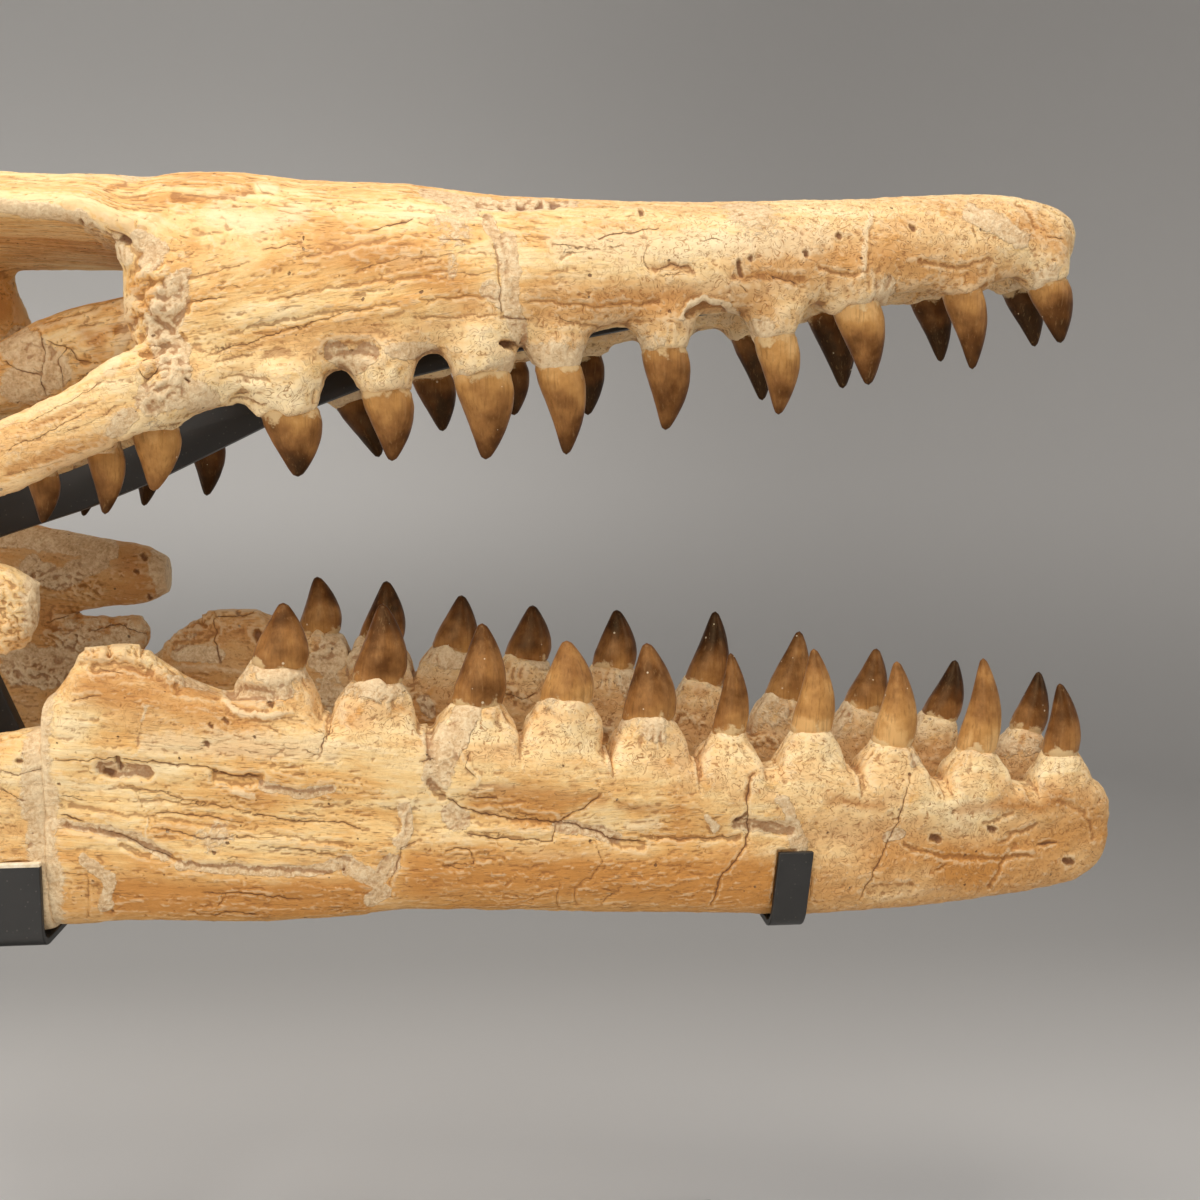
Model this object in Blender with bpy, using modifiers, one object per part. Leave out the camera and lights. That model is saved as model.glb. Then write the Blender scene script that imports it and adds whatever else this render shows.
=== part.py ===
"""A fossil mosasaur skull on its steel display armature.

The fossil is the cranium, a dentary and a rear jaw on each side, and the two quadrates between them.
Every tooth crown is a solid of its own that sits on a flat seat. The armature is a base plate, a post, a
bar between the lower jaws, three U-shaped straps that carry them, and a strut with a bar under the palate.

The frame: the origin is at the middle of the base plate's underside, X runs to the snout, Y to the
animal's left and Z up. Sizes are in millimetres, and MM turns them to metres.
"""

import math

import bmesh
import bpy
from mathutils import Matrix, Vector

MM = 0.001
NEAR = -1  # the animal's right side, at negative Y
FAR = 1

# Driving dimensions
DATUM_HEIGHT = 50  # the level that every height below is measured from
CONTACT_GAP = 0.3
BONE_VOXEL = 3.4
SMOOTHING_PASSES = 3
CRANIUM_TRIANGLES = 3150
DENTARY_TRIANGLES = 820
REAR_JAW_TRIANGLES = 430
QUADRATE_TRIANGLES = 180

JAW_SEAM_X = -90
SEAM_CUT_DEPTH = 60
SEAM_CUT_Y = 100
SEAM_CUT_HALF_Y = 60
SEAM_CUT_BOTTOM = 250
DENTARY_CUT_TOP = 520
REAR_JAW_CUT_TOP = 430  # above it, the prongs reach forwards over the seam
END_CUT_X = (-480, -380)
END_CUT_HALF_Y = 45
END_CUT_HEIGHT = 60
JAW_TIP_Y = 17  # half the distance between the two lower jaws at their tips
JAW_TIP_X = 570
JAW_SPREAD = 0.125  # how far each lower jaw moves outwards for each unit backwards

PLATE_HALF_X = 335
PLATE_HALF_Y = 150
PLATE_THICK = 10
POST_X = -200
POST_TOP_GAP = 2
POST_SIDE = 30
BAR_HEIGHT = 25
BAR_THICK = 10
STRAP_THICK = 4
STRAP_LEG = 46

# Cranium: x, crest z, half-width at the side ridge, ridge z, margin z, palate z
SNOUT = (
    (541, 722, 10, 714, 708, 709),
    (536, 728, 20, 710, 698, 702),
    (522, 734, 31, 705, 690, 698),
    (500, 738, 38, 701, 684, 698),
    (478, 739, 42, 697, 679, 698),
    (440, 738, 48, 692, 673, 698),
    (390, 734, 55, 686, 667, 696),
    (345, 732, 62, 680, 661, 694),
    (285, 729, 71, 674, 655, 690),
    (222, 729, 79, 667, 643, 680),
    (165, 730, 87, 658, 635, 668),
    (105, 736, 93, 652, 626, 660),
    (50, 737, 98, 646, 613, 648),
    (8, 741, 102, 642, 601, 640),
    (-12, 740, 104, 642, 594, 636),
    (-27, 739, 104, 650, 612, 642),
    (-46, 733, 92, 672, 640, 654),
)
# Skull roof behind the snout: x, crest z, half-width, edge z, underside z
ROOF = (
    (10, 728, 80, 700, 680),
    (-20, 736, 98, 690, 678),
    (-42, 738, 103, 690, 684),
    (-60, 738, 102, 699, 694),
    (-100, 738, 100, 700, 697),
    (-140, 739, 101, 700, 698),
    (-178, 742, 104, 700, 697),
    (-205, 745, 100, 704, 698),
    (-228, 747, 62, 716, 702),
    (-255, 747, 36, 724, 704),
    (-310, 746, 26, 728, 706),
    (-352, 742, 28, 722, 702),
)
# Palate and braincase along the middle: x, half-width, bottom z, top z
PALATE = (
    (-20, 40, 626, 676),
    (-64, 44, 612, 667),
    (-90, 42, 600, 661),
    (-118, 38, 590, 652),
    (-145, 34, 588, 636),
    (-185, 28, 592, 622),
)
BRAINCASE = (
    (-292, 14, 690, 724),
    (-312, 26, 640, 724),
    (-350, 34, 618, 720),
    (-395, 40, 612, 706),
    (-424, 30, 624, 690),
)
# Struts of the cranium, one side: x, y, z, half-height, half-thickness
JUGAL = (
    (44, 84, 628, 10, 6),
    (-4, 98, 612, 20, 9),
    (-36, 104, 603, 26, 9),
    (-66, 107, 586, 21, 9),
    (-107, 108, 566, 21, 9),
    (-150, 108, 551, 19, 8),
    (-190, 108, 547, 17, 8),
    (-214, 107, 556, 14, 7),
)
POSTORBITAL = (
    (-192, 99, 712, 24, 8),
    (-188, 103, 690, 20, 8),
    (-180, 106, 660, 24, 8),
    (-182, 108, 620, 24, 8),
    (-196, 108, 580, 22, 8),
    (-198, 108, 552, 18, 8),
)
UPPER_TEMPORAL_BAR = (
    (-190, 97, 714, 13, 7),
    (-240, 112, 706, 12, 8),
    (-310, 128, 692, 11, 8),
    (-372, 138, 676, 13, 9),
    (-425, 142, 660, 16, 11),
)
PARIETAL_ARM = (
    (-335, 12, 732, 15, 10),
    (-372, 44, 722, 14, 9),
    (-406, 88, 698, 13, 9),
    (-430, 138, 666, 15, 11),
)
PAROCCIPITAL = (
    (-400, 24, 668, 18, 12),
    (-418, 70, 664, 14, 10),
    (-430, 134, 654, 12, 11),
)
PTERYGOID = (
    (-130, 24, 612, 16, 14),
    (-200, 34, 602, 14, 14),
    (-265, 44, 596, 13, 14),
    (-325, 56, 594, 13, 11),
    (-372, 88, 580, 15, 8),
    (-405, 116, 566, 14, 7),
)
ECTOPTERYGOID = (
    (-190, 106, 560, 12, 9),
    (-200, 74, 582, 10, 10),
    (-206, 40, 600, 10, 10),
)
BASIPTERYGOID = (
    (-335, 10, 634, 14, 12),
    (-330, 36, 614, 12, 10),
    (-326, 54, 596, 11, 10),
)
MAXILLA_TAIL = (
    (20, 86, 612, 16, 9),
    (-32, 88, 598, 14, 9),
    (-66, 89, 588, 13, 9),
    (-112, 91, 576, 12, 8),
)
OCCIPITAL_CONDYLE = (-436, 0, 642, 19)  # x, y, z, radius

# Quadrate, one side: x, y, z, half-depth from front to back, half-thickness
QUADRATE_HEAD_Z = 643
QUADRATE_FOOT_Z = 478
QUADRATE_Y = 145
QUADRATE_SHAFT = (
    (-432, 142, 656, 26, 15),
    (-430, 142, 626, 24, 14),
    (-428, 142, 584, 15, 12),
    (-430, 142, 535, 14, 12),
    (-436, 142, 498, 20, 17),
    (-438, 142, 470, 20, 20),
)
QUADRATE_EAR = (
    (-426, 150, 646, 15, 7),
    (-412, 154, 624, 26, 6),
    (-404, 156, 590, 30, 5),
    (-408, 154, 556, 24, 6),
    (-424, 149, 526, 14, 8),
)
QUADRATE_HOOK = (
    (-440, 141, 638, 15, 12),
    (-458, 140, 618, 13, 10),
    (-466, 140, 590, 11, 9),
    (-462, 140, 566, 8, 7),
)

# A lower jaw's section: across, from the outside (-1) to the inside (1), and up, from 0 to 1
JAW_SECTION = (
    (-0.45, 0),
    (-0.85, 0.08),
    (-1, 0.24),
    (-0.98, 0.42),
    (-0.86, 0.52),
    (-1, 0.66),
    (-0.94, 0.88),
    (-0.62, 1),
    (0.62, 1),
    (0.86, 0.86),
    (0.8, 0.5),
    (0.88, 0.2),
    (0.5, 0),
)
# Lower jaws: x, bottom z, top z between the teeth on the right and on the left side, half-thickness
DENTARY = (
    (575, 309, 338, 338, 7),
    (567, 292, 350, 350, 12),
    (550, 283, 357, 357, 15),
    (515, 279, 359, 359, 18),
    (470, 276, 364, 364, 20),
    (420, 275, 371, 371, 22),
    (360, 276, 379, 379, 23),
    (300, 281, 386, 386, 24),
    (222, 289, 396, 398, 24),
    (165, 294, 409, 410, 24),
    (105, 299, 416, 424, 24),
    (82, 298, 421, 430, 24),
    (62, 297, 426, 434, 24),
    (28, 298, 428, 446, 23),
    (4, 300, 431, 456, 23),
    (-22, 302, 444, 462, 22),
    (-40, 304, 459, 460, 21),
    (-58, 304, 463, 450, 20),
    (-70, 304, 459, 440, 20),
    (-84, 304, 438, 426, 20),
    (-100, 304, 420, 418, 19),
)
REAR_JAW = (
    (-80, 302, 420, 18),
    (-110, 301, 415, 19),
    (-140, 301, 412, 20),
    (-172, 302, 452, 20),
    (-205, 303, 508, 19),
    (-250, 305, 528, 18),
    (-300, 308, 508, 18),
    (-350, 312, 490, 19),
    (-400, 319, 482, 21),
    (-440, 330, 479, 23),
    (-462, 340, 470, 21),
    (-500, 362, 446, 16),
    (-530, 386, 424, 9),
)
# Coronoid prong, one row a side, since they broke at different lengths: x, z, half-height
CORONOID_NEAR = ((-96, 482, 20), (-112, 484, 27), (-150, 488, 31), (-210, 500, 34))
CORONOID_FAR = ((-72, 487, 14), (-84, 487, 22), (-110, 488, 25), (-150, 490, 31), (-210, 500, 34))
SURANGULAR_PRONG_FAR = ((-86, 443, 8), (-98, 443, 12), (-140, 440, 16), (-190, 440, 18))
JAW_MATRIX_FAR = ((-78, 400, 26), (-120, 402, 32), (-170, 410, 36))

# Upper tooth rows: where they start, bend and stop spreading, and how far they spread for each unit back
UPPER_ROW_FRONT_X = 527
UPPER_ROW_BEND_X = 150
UPPER_ROW_TIP_Y = 21
UPPER_ROW_WIDEST_Y = 86
UPPER_ROW_SPREAD = 0.135
UPPER_ROW_REAR_SPREAD = 0.11

# Teeth: base x, base z, tip x, tip z, half-length of the base along the jaw
UPPER_NEAR = (
    (516, 680, 527, 643, 13.5),
    (456, 674, 465, 625, 12.5),
    (384, 663, 394, 614, 15),
    (332, 642, 335, 595, 13),
    (262, 632, 263, 585, 14),
    (197, 622, 202, 570, 13.5),
    (152, 617, 154, 567, 16.5),
    (97, 605, 100, 566, 14),
    (43, 594, 47, 557, 16),
    (-31, 586, -33, 549, 13),
    (-59, 573, -60, 536, 10),
    (-93, 559, -94, 531, 8.5),
)
UPPER_FAR = (
    (517, 684, 530, 645, 12.5),
    (456, 678, 467, 635, 12.5),
    (389, 668, 401, 617, 15),
    (336, 653, 346, 609, 13),
    (280, 644, 286, 599, 13),
    (222, 640, 226, 599, 13),
    (169, 634, 175, 599, 14),
    (117, 626, 125, 588, 14),
    (64, 609, 80, 570, 15),
    (15, 600, 20, 561, 14),
    (-40, 584, -40, 543, 12),
    (-80, 573, -83, 536, 10),
    (-121, 562, -124, 529, 8.5),
)
LOWER_NEAR = (
    (538, 371, 536, 418, 12),
    (476, 377, 479, 437, 13),
    (416, 384, 418, 437, 13.5),
    (360, 395, 361, 447, 13),
    (305, 396, 306, 446, 10.5),
    (253, 407, 252, 454, 16),
    (201, 420, 202, 457, 16),
    (147, 421, 151, 469, 15.5),
    (89, 437, 93, 482, 15),
    (33, 448, 37, 484, 15.5),
)
LOWER_FAR = (
    (533, 379, 541, 419, 12),
    (472, 387, 483, 427, 13),
    (418, 393, 428, 435, 14),
    (363, 400, 374, 447, 14),
    (307, 410, 315, 461, 14),
    (243, 422, 246, 462, 15),
    (182, 428, 187, 465, 15.5),
    (130, 434, 137, 472, 15),
    (79, 440, 84, 482, 15),
    (36, 446, 35, 485, 14.5),
)
CROWN_SIDES = 8
CROWN_FLATNESS = 0.84  # a crown's width across the jaw, for each unit along it
CROWN_BOW = 0.06  # how far the crown's middle bows forwards, for each unit of its length
CROWN_RINGS = ((0, 1), (0.36, 0.87), (0.74, 0.5))  # height and radius, as shares
# A crown's pedestal, and the cut that leaves its seat: widths are shares of the crown's half-length
PEDESTAL_DEPTH = 26
PEDESTAL_FLARE = 1.3
PEDESTAL_RIM = 1.12
SEAT_ALLOWANCE = 4
SEAT_CUT_HEIGHT = 40
SEAT_CUT_WIDTH = 1.45

# Armature straps: x, width, bottom z, half-width between the legs, forward lean for each unit of height
STRAPS = (
    (340, 22, 277, 67, 0.11),
    (-107, 30, 300, 118, 0),
    (-385, 30, 314.4, 155, 0),
)
JAW_BAR = ((351, 290.2), (-400, 329.2))  # x, z of its middle line
PALATE_BAR = (
    (-210, 510),
    (-149, 532),
    (-100, 548),
    (-56, 566),
    (12, 600),
    (70, 623),
    (171, 648),
    (294, 673),
    (332, 680),
)
STRUT = ((-129, 333.6), (-195.8, 500.8))

BONE = (0.72, 0.50, 0.27, 1)
ENAMEL = (0.24, 0.13, 0.055, 1)
STEEL = (0.035, 0.033, 0.031, 1)


def clear_scene():
    for obj in list(bpy.data.objects):
        bpy.data.objects.remove(obj, do_unlink=True)


def new_collection(name):
    made = bpy.data.collections.new(name)
    bpy.context.scene.collection.children.link(made)
    return made


def paint(obj, colour, roughness, metallic=0.0):
    material = bpy.data.materials.new(obj.name)
    material.use_nodes = True
    shader = material.node_tree.nodes["Principled BSDF"]
    shader.inputs["Base Color"].default_value = colour
    shader.inputs["Roughness"].default_value = roughness
    shader.inputs["Metallic"].default_value = metallic
    obj.data.materials.append(material)


def object_of(bm, name, collection):
    bmesh.ops.recalc_face_normals(bm, faces=bm.faces)
    mesh = bpy.data.meshes.new(name)
    bm.to_mesh(mesh)
    bm.free()
    obj = bpy.data.objects.new(name, mesh)
    obj.parent = DATUM
    collection.objects.link(obj)
    return obj


def cutter_of(bm, name):
    obj = object_of(bm, name, CUTTERS)
    obj.hide_render = True
    obj.display_type = "WIRE"
    return obj


def add_loft(bm, rings):
    """A closed skin over rings of the same number of points, given in millimetres."""
    rows = [[bm.verts.new(Vector(p) * MM) for p in ring] for ring in rings]
    for lower, upper in zip(rows, rows[1:]):
        for i in range(len(lower)):
            j = (i + 1) % len(lower)
            bm.faces.new((lower[i], lower[j], upper[j], upper[i]))
    bm.faces.new(rows[0])
    bm.faces.new(rows[-1])


def add_box(bm, low, high):
    low = Vector(low) * MM
    high = Vector(high) * MM
    place = Matrix.Translation((low + high) / 2) @ Matrix.Diagonal((*(high - low), 1))
    bmesh.ops.create_cube(bm, size=1, matrix=place)


def add_cone(bm, start, end, start_radius, end_radius, sides=16):
    """A cone or a cylinder from one point to another, in millimetres."""
    start = Vector(start) * MM
    end = Vector(end) * MM
    along = end - start
    turn = along.to_track_quat("Z", "Y").to_matrix().to_4x4()
    bmesh.ops.create_cone(
        bm,
        cap_ends=True,
        segments=sides,
        radius1=start_radius * MM,
        radius2=end_radius * MM,
        depth=along.length,
        matrix=Matrix.Translation((start + end) / 2) @ turn,
    )


def snout_ring(x, crest, half_width, ridge, margin, palate):
    """Arched above, with a margin that carries the teeth on each side and a hollow palate between."""
    arc = []
    for degrees in (0, 22, 42, 60, 76, 90):
        turn = math.radians(degrees)
        arc.append((half_width * math.sin(turn) ** 0.9, ridge + (crest - ridge) * math.cos(turn) ** 0.8))
    under = [
        (half_width - 5, margin),
        (max(half_width - 33, half_width * 0.35), margin),
        (max(half_width - 42, half_width * 0.2), palate),
    ]
    left = arc + under
    return [(x, y, z) for y, z in left] + [(x, -y, z) for y, z in reversed(left[1:])]


def roof_ring(x, crest, half_width, edge, underside):
    left = [
        (0, crest),
        (half_width * 0.5, crest - 0.22 * (crest - edge)),
        (half_width * 0.9, edge + 12),
        (half_width, edge + 4),
        (half_width - 4, edge - 3),
        (half_width * 0.5, underside),
    ]
    return [(x, y, z) for y, z in left] + [(x, 0, underside)] + [(x, -y, z) for y, z in reversed(left[1:])]


def middle_ring(x, half_width, bottom, top, sides=12, fullness=0.8):
    """A rounded box across the middle plane, fuller than an ellipse."""
    points = []
    for i in range(sides):
        across = math.cos(math.tau * i / sides)
        up = math.sin(math.tau * i / sides)
        y = math.copysign(abs(across) ** fullness, across) * half_width
        z = math.copysign(abs(up) ** fullness, up) * (top - bottom) / 2
        points.append((x, y, (top + bottom) / 2 + z))
    return points


def add_limb(bm, stations, side=1, sides=10):
    """A bar of bone through stations of x, y, z, half-height and half-thickness."""
    centres = [Vector((x, side * y, z)) for x, y, z, _, _ in stations]
    rings = []
    for i, (_, _, _, half_height, half_thick) in enumerate(stations):
        along = (centres[min(i + 1, len(centres) - 1)] - centres[max(i - 1, 0)]).normalized()
        across = Vector((0, 1, 0)) if abs(along.y) < 0.75 else Vector((1, 0, 0))
        across = (across - along * across.dot(along)).normalized()
        up = along.cross(across)
        rings.append(
            [
                centres[i]
                + across * half_thick * math.cos(math.tau * k / sides)
                + up * half_height * math.sin(math.tau * k / sides)
                for k in range(sides)
            ]
        )
    add_loft(bm, rings)


def jaw_y(x):
    return JAW_TIP_Y + JAW_SPREAD * (JAW_TIP_X - x)


def jaw_ring(side, x, bottom, top, half_thick):
    middle = jaw_y(x)
    return [
        (x, side * (middle - across * half_thick), bottom + up * (top - bottom))
        for across, up in JAW_SECTION
    ]


def add_prong(bm, side, stations, half_thick):
    add_limb(bm, [(x, jaw_y(x) - 2, z, half_height, half_thick) for x, z, half_height in stations], side)


def bone(name, shapes, triangles, cutter):
    """The shapes grown together as one bone, thinned to its number of triangles, then cut for its seats."""
    obj = object_of(shapes, name, SKULL)
    remesh = obj.modifiers.new("Grow together", "REMESH")
    remesh.mode = "VOXEL"
    remesh.voxel_size = BONE_VOXEL * MM
    smooth = obj.modifiers.new("Soften", "SMOOTH")
    smooth.factor = 0.5
    smooth.iterations = SMOOTHING_PASSES
    dense = obj.evaluated_get(bpy.context.evaluated_depsgraph_get()).to_mesh()
    dense.calc_loop_triangles()
    share = triangles / len(dense.loop_triangles)
    thin = obj.modifiers.new("Thin out", "DECIMATE")
    thin.ratio = share
    cut = obj.modifiers.new("Seats", "BOOLEAN")
    cut.operation = "DIFFERENCE"
    cut.object = cutter
    cut.use_self = True
    paint(obj, BONE, 0.75)
    return obj


def tooth_axis(row, y):
    base_x, base_z, tip_x, tip_z, _ = row
    base = Vector((base_x, y, base_z))
    return base, (Vector((tip_x, y, tip_z)) - base)


def crown(name, row, y):
    """A crown that bows forwards and narrows to its point, on a flat base."""
    base, axis = tooth_axis(row, y)
    up = axis.normalized()
    forward = Vector((1, 0, 0))
    forward = (forward - up * forward.dot(up)).normalized()
    across = up.cross(forward) * CROWN_FLATNESS
    bm = bmesh.new()
    rings = []
    for height, share in CROWN_RINGS:
        bow = forward * axis.length * CROWN_BOW * 4 * height * (1 - height)
        centre = up * CONTACT_GAP + axis * height + bow
        ring = []
        for k in range(CROWN_SIDES):
            turn = math.tau * k / CROWN_SIDES
            reach = (forward * math.cos(turn) + across * math.sin(turn)) * row[4] * share
            ring.append(bm.verts.new((centre + reach) * MM))
        rings.append(ring)
    for lower, upper in zip(rings, rings[1:]):
        for i in range(CROWN_SIDES):
            j = (i + 1) % CROWN_SIDES
            bm.faces.new((lower[i], lower[j], upper[j], upper[i]))
    tip = bm.verts.new((up * CONTACT_GAP + axis) * MM)
    for i in range(CROWN_SIDES):
        bm.faces.new((rings[-1][i], rings[-1][(i + 1) % CROWN_SIDES], tip))
    bm.faces.new(rings[0])
    obj = object_of(bm, name, SKULL)
    obj.location = base * MM
    obj.data.shade_smooth()
    paint(obj, ENAMEL, 0.3)


def add_socket(bm, seats, row, y):
    """The pedestal that grows from the jaw to a crown, and the cutter that leaves its flat seat."""
    base, axis = tooth_axis(row, y)
    up = axis.normalized()
    root = base - up * PEDESTAL_DEPTH
    add_cone(bm, root, base + up * SEAT_ALLOWANCE, row[4] * PEDESTAL_FLARE, row[4] * PEDESTAL_RIM)
    add_cone(seats, base, base + up * SEAT_CUT_HEIGHT, row[4] * SEAT_CUT_WIDTH, row[4] * SEAT_CUT_WIDTH)


def upper_tooth_y(x):
    """Half the distance between the upper tooth rows, which spread backwards, less so behind the bend."""
    front = min(UPPER_ROW_FRONT_X - x, UPPER_ROW_FRONT_X - UPPER_ROW_BEND_X)
    behind = max(UPPER_ROW_BEND_X - x, 0)
    spread = UPPER_ROW_TIP_Y + UPPER_ROW_SPREAD * front + UPPER_ROW_REAR_SPREAD * behind
    return min(spread, UPPER_ROW_WIDEST_Y)


def add_end_cut(seats, side, face_z, far_z):
    """The block that cuts a bone flat at one of the two faces where a quadrate meets it."""
    y = side * QUADRATE_Y
    low = (END_CUT_X[0], y - END_CUT_HALF_Y, min(face_z, far_z))
    high = (END_CUT_X[1], y + END_CUT_HALF_Y, max(face_z, far_z))
    add_box(seats, low, high)


def add_seam_cut(seats, side, start_x, end_x, top_z):
    """The block that cuts a lower jaw's side flat across its length, where its two halves meet."""
    low = (min(start_x, end_x), side * SEAM_CUT_Y - SEAM_CUT_HALF_Y, SEAM_CUT_BOTTOM)
    high = (max(start_x, end_x), side * SEAM_CUT_Y + SEAM_CUT_HALF_Y, top_z)
    add_box(seats, low, high)


def make_cranium():
    bm = bmesh.new()
    seats = bmesh.new()
    add_loft(bm, [snout_ring(*row) for row in SNOUT])
    add_loft(bm, [roof_ring(*row) for row in ROOF])
    add_loft(bm, [middle_ring(*row) for row in PALATE])
    add_loft(bm, [middle_ring(*row) for row in BRAINCASE])
    limbs = (
        JUGAL,
        POSTORBITAL,
        UPPER_TEMPORAL_BAR,
        PARIETAL_ARM,
        PAROCCIPITAL,
        PTERYGOID,
        ECTOPTERYGOID,
        BASIPTERYGOID,
        MAXILLA_TAIL,
    )
    for side in (NEAR, FAR):
        for limb in limbs:
            add_limb(bm, limb, side)
        for row in UPPER_NEAR if side == NEAR else UPPER_FAR:
            add_socket(bm, seats, row, side * upper_tooth_y(row[0]))
    x, y, z, radius = OCCIPITAL_CONDYLE
    place = Matrix.Translation(Vector((x, y, z)) * MM)
    bmesh.ops.create_icosphere(bm, subdivisions=2, radius=radius * MM, matrix=place)
    for side in (NEAR, FAR):
        add_end_cut(seats, side, QUADRATE_HEAD_Z, QUADRATE_HEAD_Z - END_CUT_HEIGHT)
    add_palate_bar(seats, CONTACT_GAP)
    bone("cranium", bm, CRANIUM_TRIANGLES, cutter_of(seats, "cranium_seats"))


def make_dentary(name, side, teeth):
    bm = bmesh.new()
    seats = bmesh.new()
    rings = []
    for x, bottom, right_top, left_top, half_thick in DENTARY:
        rings.append(jaw_ring(side, x, bottom, right_top if side == NEAR else left_top, half_thick))
    add_loft(bm, rings)
    for row in teeth:
        add_socket(bm, seats, row, side * jaw_y(row[0]))
    add_seam_cut(seats, side, JAW_SEAM_X, JAW_SEAM_X - SEAM_CUT_DEPTH, DENTARY_CUT_TOP)
    for strap in STRAPS[:2]:
        add_strap(seats, *strap, CONTACT_GAP)
    bone(name, bm, DENTARY_TRIANGLES, cutter_of(seats, name + "_seats"))


def make_rear_jaw(name, side):
    bm = bmesh.new()
    seats = bmesh.new()
    add_loft(bm, [jaw_ring(side, *row) for row in REAR_JAW])
    if side == NEAR:
        add_prong(bm, side, CORONOID_NEAR, 12)
    else:
        add_prong(bm, side, CORONOID_FAR, 15)
        add_prong(bm, side, SURANGULAR_PRONG_FAR, 12)
        add_prong(bm, side, JAW_MATRIX_FAR, 12)
    seam = JAW_SEAM_X - CONTACT_GAP
    add_seam_cut(seats, side, seam, seam + SEAM_CUT_DEPTH, REAR_JAW_CUT_TOP)
    foot = QUADRATE_FOOT_Z - CONTACT_GAP
    add_end_cut(seats, side, foot, foot + END_CUT_HEIGHT)
    for strap in STRAPS[1:]:
        add_strap(seats, *strap, CONTACT_GAP)
    bone(name, bm, REAR_JAW_TRIANGLES, cutter_of(seats, name + "_seats"))




def make_quadrate(name, side):
    bm = bmesh.new()
    seats = bmesh.new()
    for limb in (QUADRATE_SHAFT, QUADRATE_EAR, QUADRATE_HOOK):
        add_limb(bm, limb, side)
    head = QUADRATE_HEAD_Z - CONTACT_GAP
    add_end_cut(seats, side, head, head + END_CUT_HEIGHT)
    add_end_cut(seats, side, QUADRATE_FOOT_Z, QUADRATE_FOOT_Z - END_CUT_HEIGHT)
    bone(name, bm, QUADRATE_TRIANGLES, cutter_of(seats, name + "_ends"))


def add_strap(bm, x, width, bottom, half_span, lean, grow=0.0):
    """A flat strip bent to a U: under both lower jaws and up their outer sides."""
    outer = half_span + STRAP_THICK + grow
    inner = half_span - grow
    low = bottom - STRAP_THICK - grow
    floor = bottom + grow
    top = bottom + STRAP_LEG + grow
    outline = ((-outer, top), (-outer, low), (outer, low), (outer, top))
    outline += ((inner, top), (inner, floor), (-inner, floor), (-inner, top))
    half = width / 2 + grow
    rings = [[(x + end + lean * (z - bottom), y, z) for y, z in outline] for end in (-half, half)]
    add_loft(bm, rings)


def add_bar(bm, path, height, thickness):
    """A flat bar on edge that follows x and z points on the middle plane."""
    points = [Vector((x, 0, z)) for x, z in path]
    legs = [(end - start).normalized() for start, end in zip(points, points[1:])]
    side = Vector((0, thickness / 2, 0))
    rings = []
    for i, point in enumerate(points):
        before = legs[max(i - 1, 0)]
        after = legs[min(i, len(legs) - 1)]
        along = (before + after).normalized()
        up = along.cross(Vector((0, 1, 0)))
        mitre = up * height / 2 / along.dot(before)
        top = point + mitre
        bottom = point - mitre
        rings.append([top + side, top - side, bottom - side, bottom + side])
    add_loft(bm, rings)


def add_palate_bar(bm, grow=0.0):
    add_bar(bm, PALATE_BAR, BAR_HEIGHT + 2 * grow, BAR_THICK + 2 * grow)


def steel(bm, name):
    obj = object_of(bm, name, SKULL)
    paint(obj, STEEL, 0.45)
    return obj


def make_armature():
    bm = bmesh.new()
    plate_top = PLATE_THICK - DATUM_HEIGHT
    add_box(bm, (-PLATE_HALF_X, -PLATE_HALF_Y, -DATUM_HEIGHT), (PLATE_HALF_X, PLATE_HALF_Y, plate_top))
    steel(bm, "base_plate")
    half = POST_SIDE / 2
    front, rear = JAW_BAR
    back = (front[0] - POST_X) / (front[0] - rear[0])
    bar_z = front[1] + (rear[1] - front[1]) * back
    top = bar_z - BAR_HEIGHT / 2 - POST_TOP_GAP
    bm = bmesh.new()
    add_box(bm, (POST_X - half, -half, plate_top + CONTACT_GAP), (POST_X + half, half, top))
    steel(bm, "post")
    bm = bmesh.new()
    add_bar(bm, JAW_BAR, BAR_HEIGHT, BAR_THICK)
    steel(bm, "jaw_bar")
    bm = bmesh.new()
    add_bar(bm, STRUT, BAR_HEIGHT, BAR_THICK)
    steel(bm, "strut")
    bm = bmesh.new()
    add_palate_bar(bm)
    steel(bm, "palate_bar")
    for name, strap in zip(("front_strap", "middle_strap", "rear_strap"), STRAPS):
        bm = bmesh.new()
        add_strap(bm, *strap)
        steel(bm, name)


clear_scene()
SKULL = new_collection("mosasaur_skull")
CUTTERS = new_collection("cutters")
DATUM = bpy.data.objects.new("skull_datum", None)
DATUM.location.z = DATUM_HEIGHT * MM
SKULL.objects.link(DATUM)
make_cranium()
make_dentary("dentary_right", NEAR, LOWER_NEAR)
make_dentary("dentary_left", FAR, LOWER_FAR)
make_rear_jaw("rear_jaw_right", NEAR)
make_rear_jaw("rear_jaw_left", FAR)
make_quadrate("quadrate_right", NEAR)
make_quadrate("quadrate_left", FAR)
for jaw, side, row_of_teeth, across in (
    ("upper_tooth_right", NEAR, UPPER_NEAR, upper_tooth_y),
    ("upper_tooth_left", FAR, UPPER_FAR, upper_tooth_y),
    ("lower_tooth_right", NEAR, LOWER_NEAR, jaw_y),
    ("lower_tooth_left", FAR, LOWER_FAR, jaw_y),
):
    for number, tooth in enumerate(row_of_teeth, 1):
        crown(f"{jaw}_{number:02}", tooth, side * across(tooth[0]))
make_armature()
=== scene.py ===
# %% [markdown]
# # A fossil mosasaur skull on its steel armature
# The bones, the tooth crowns and the holder come as a frame of plain solids at their real size. This lesson
# dresses them: the bones get their broken, fibrous surface, the crowns their enamel, the holder its paint.
# Nothing is moved. Every new piece takes the place of the solid that it was made from.

import functools
import math

import bmesh
import bpy
import numpy as np
from mathutils import Matrix, Vector


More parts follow.
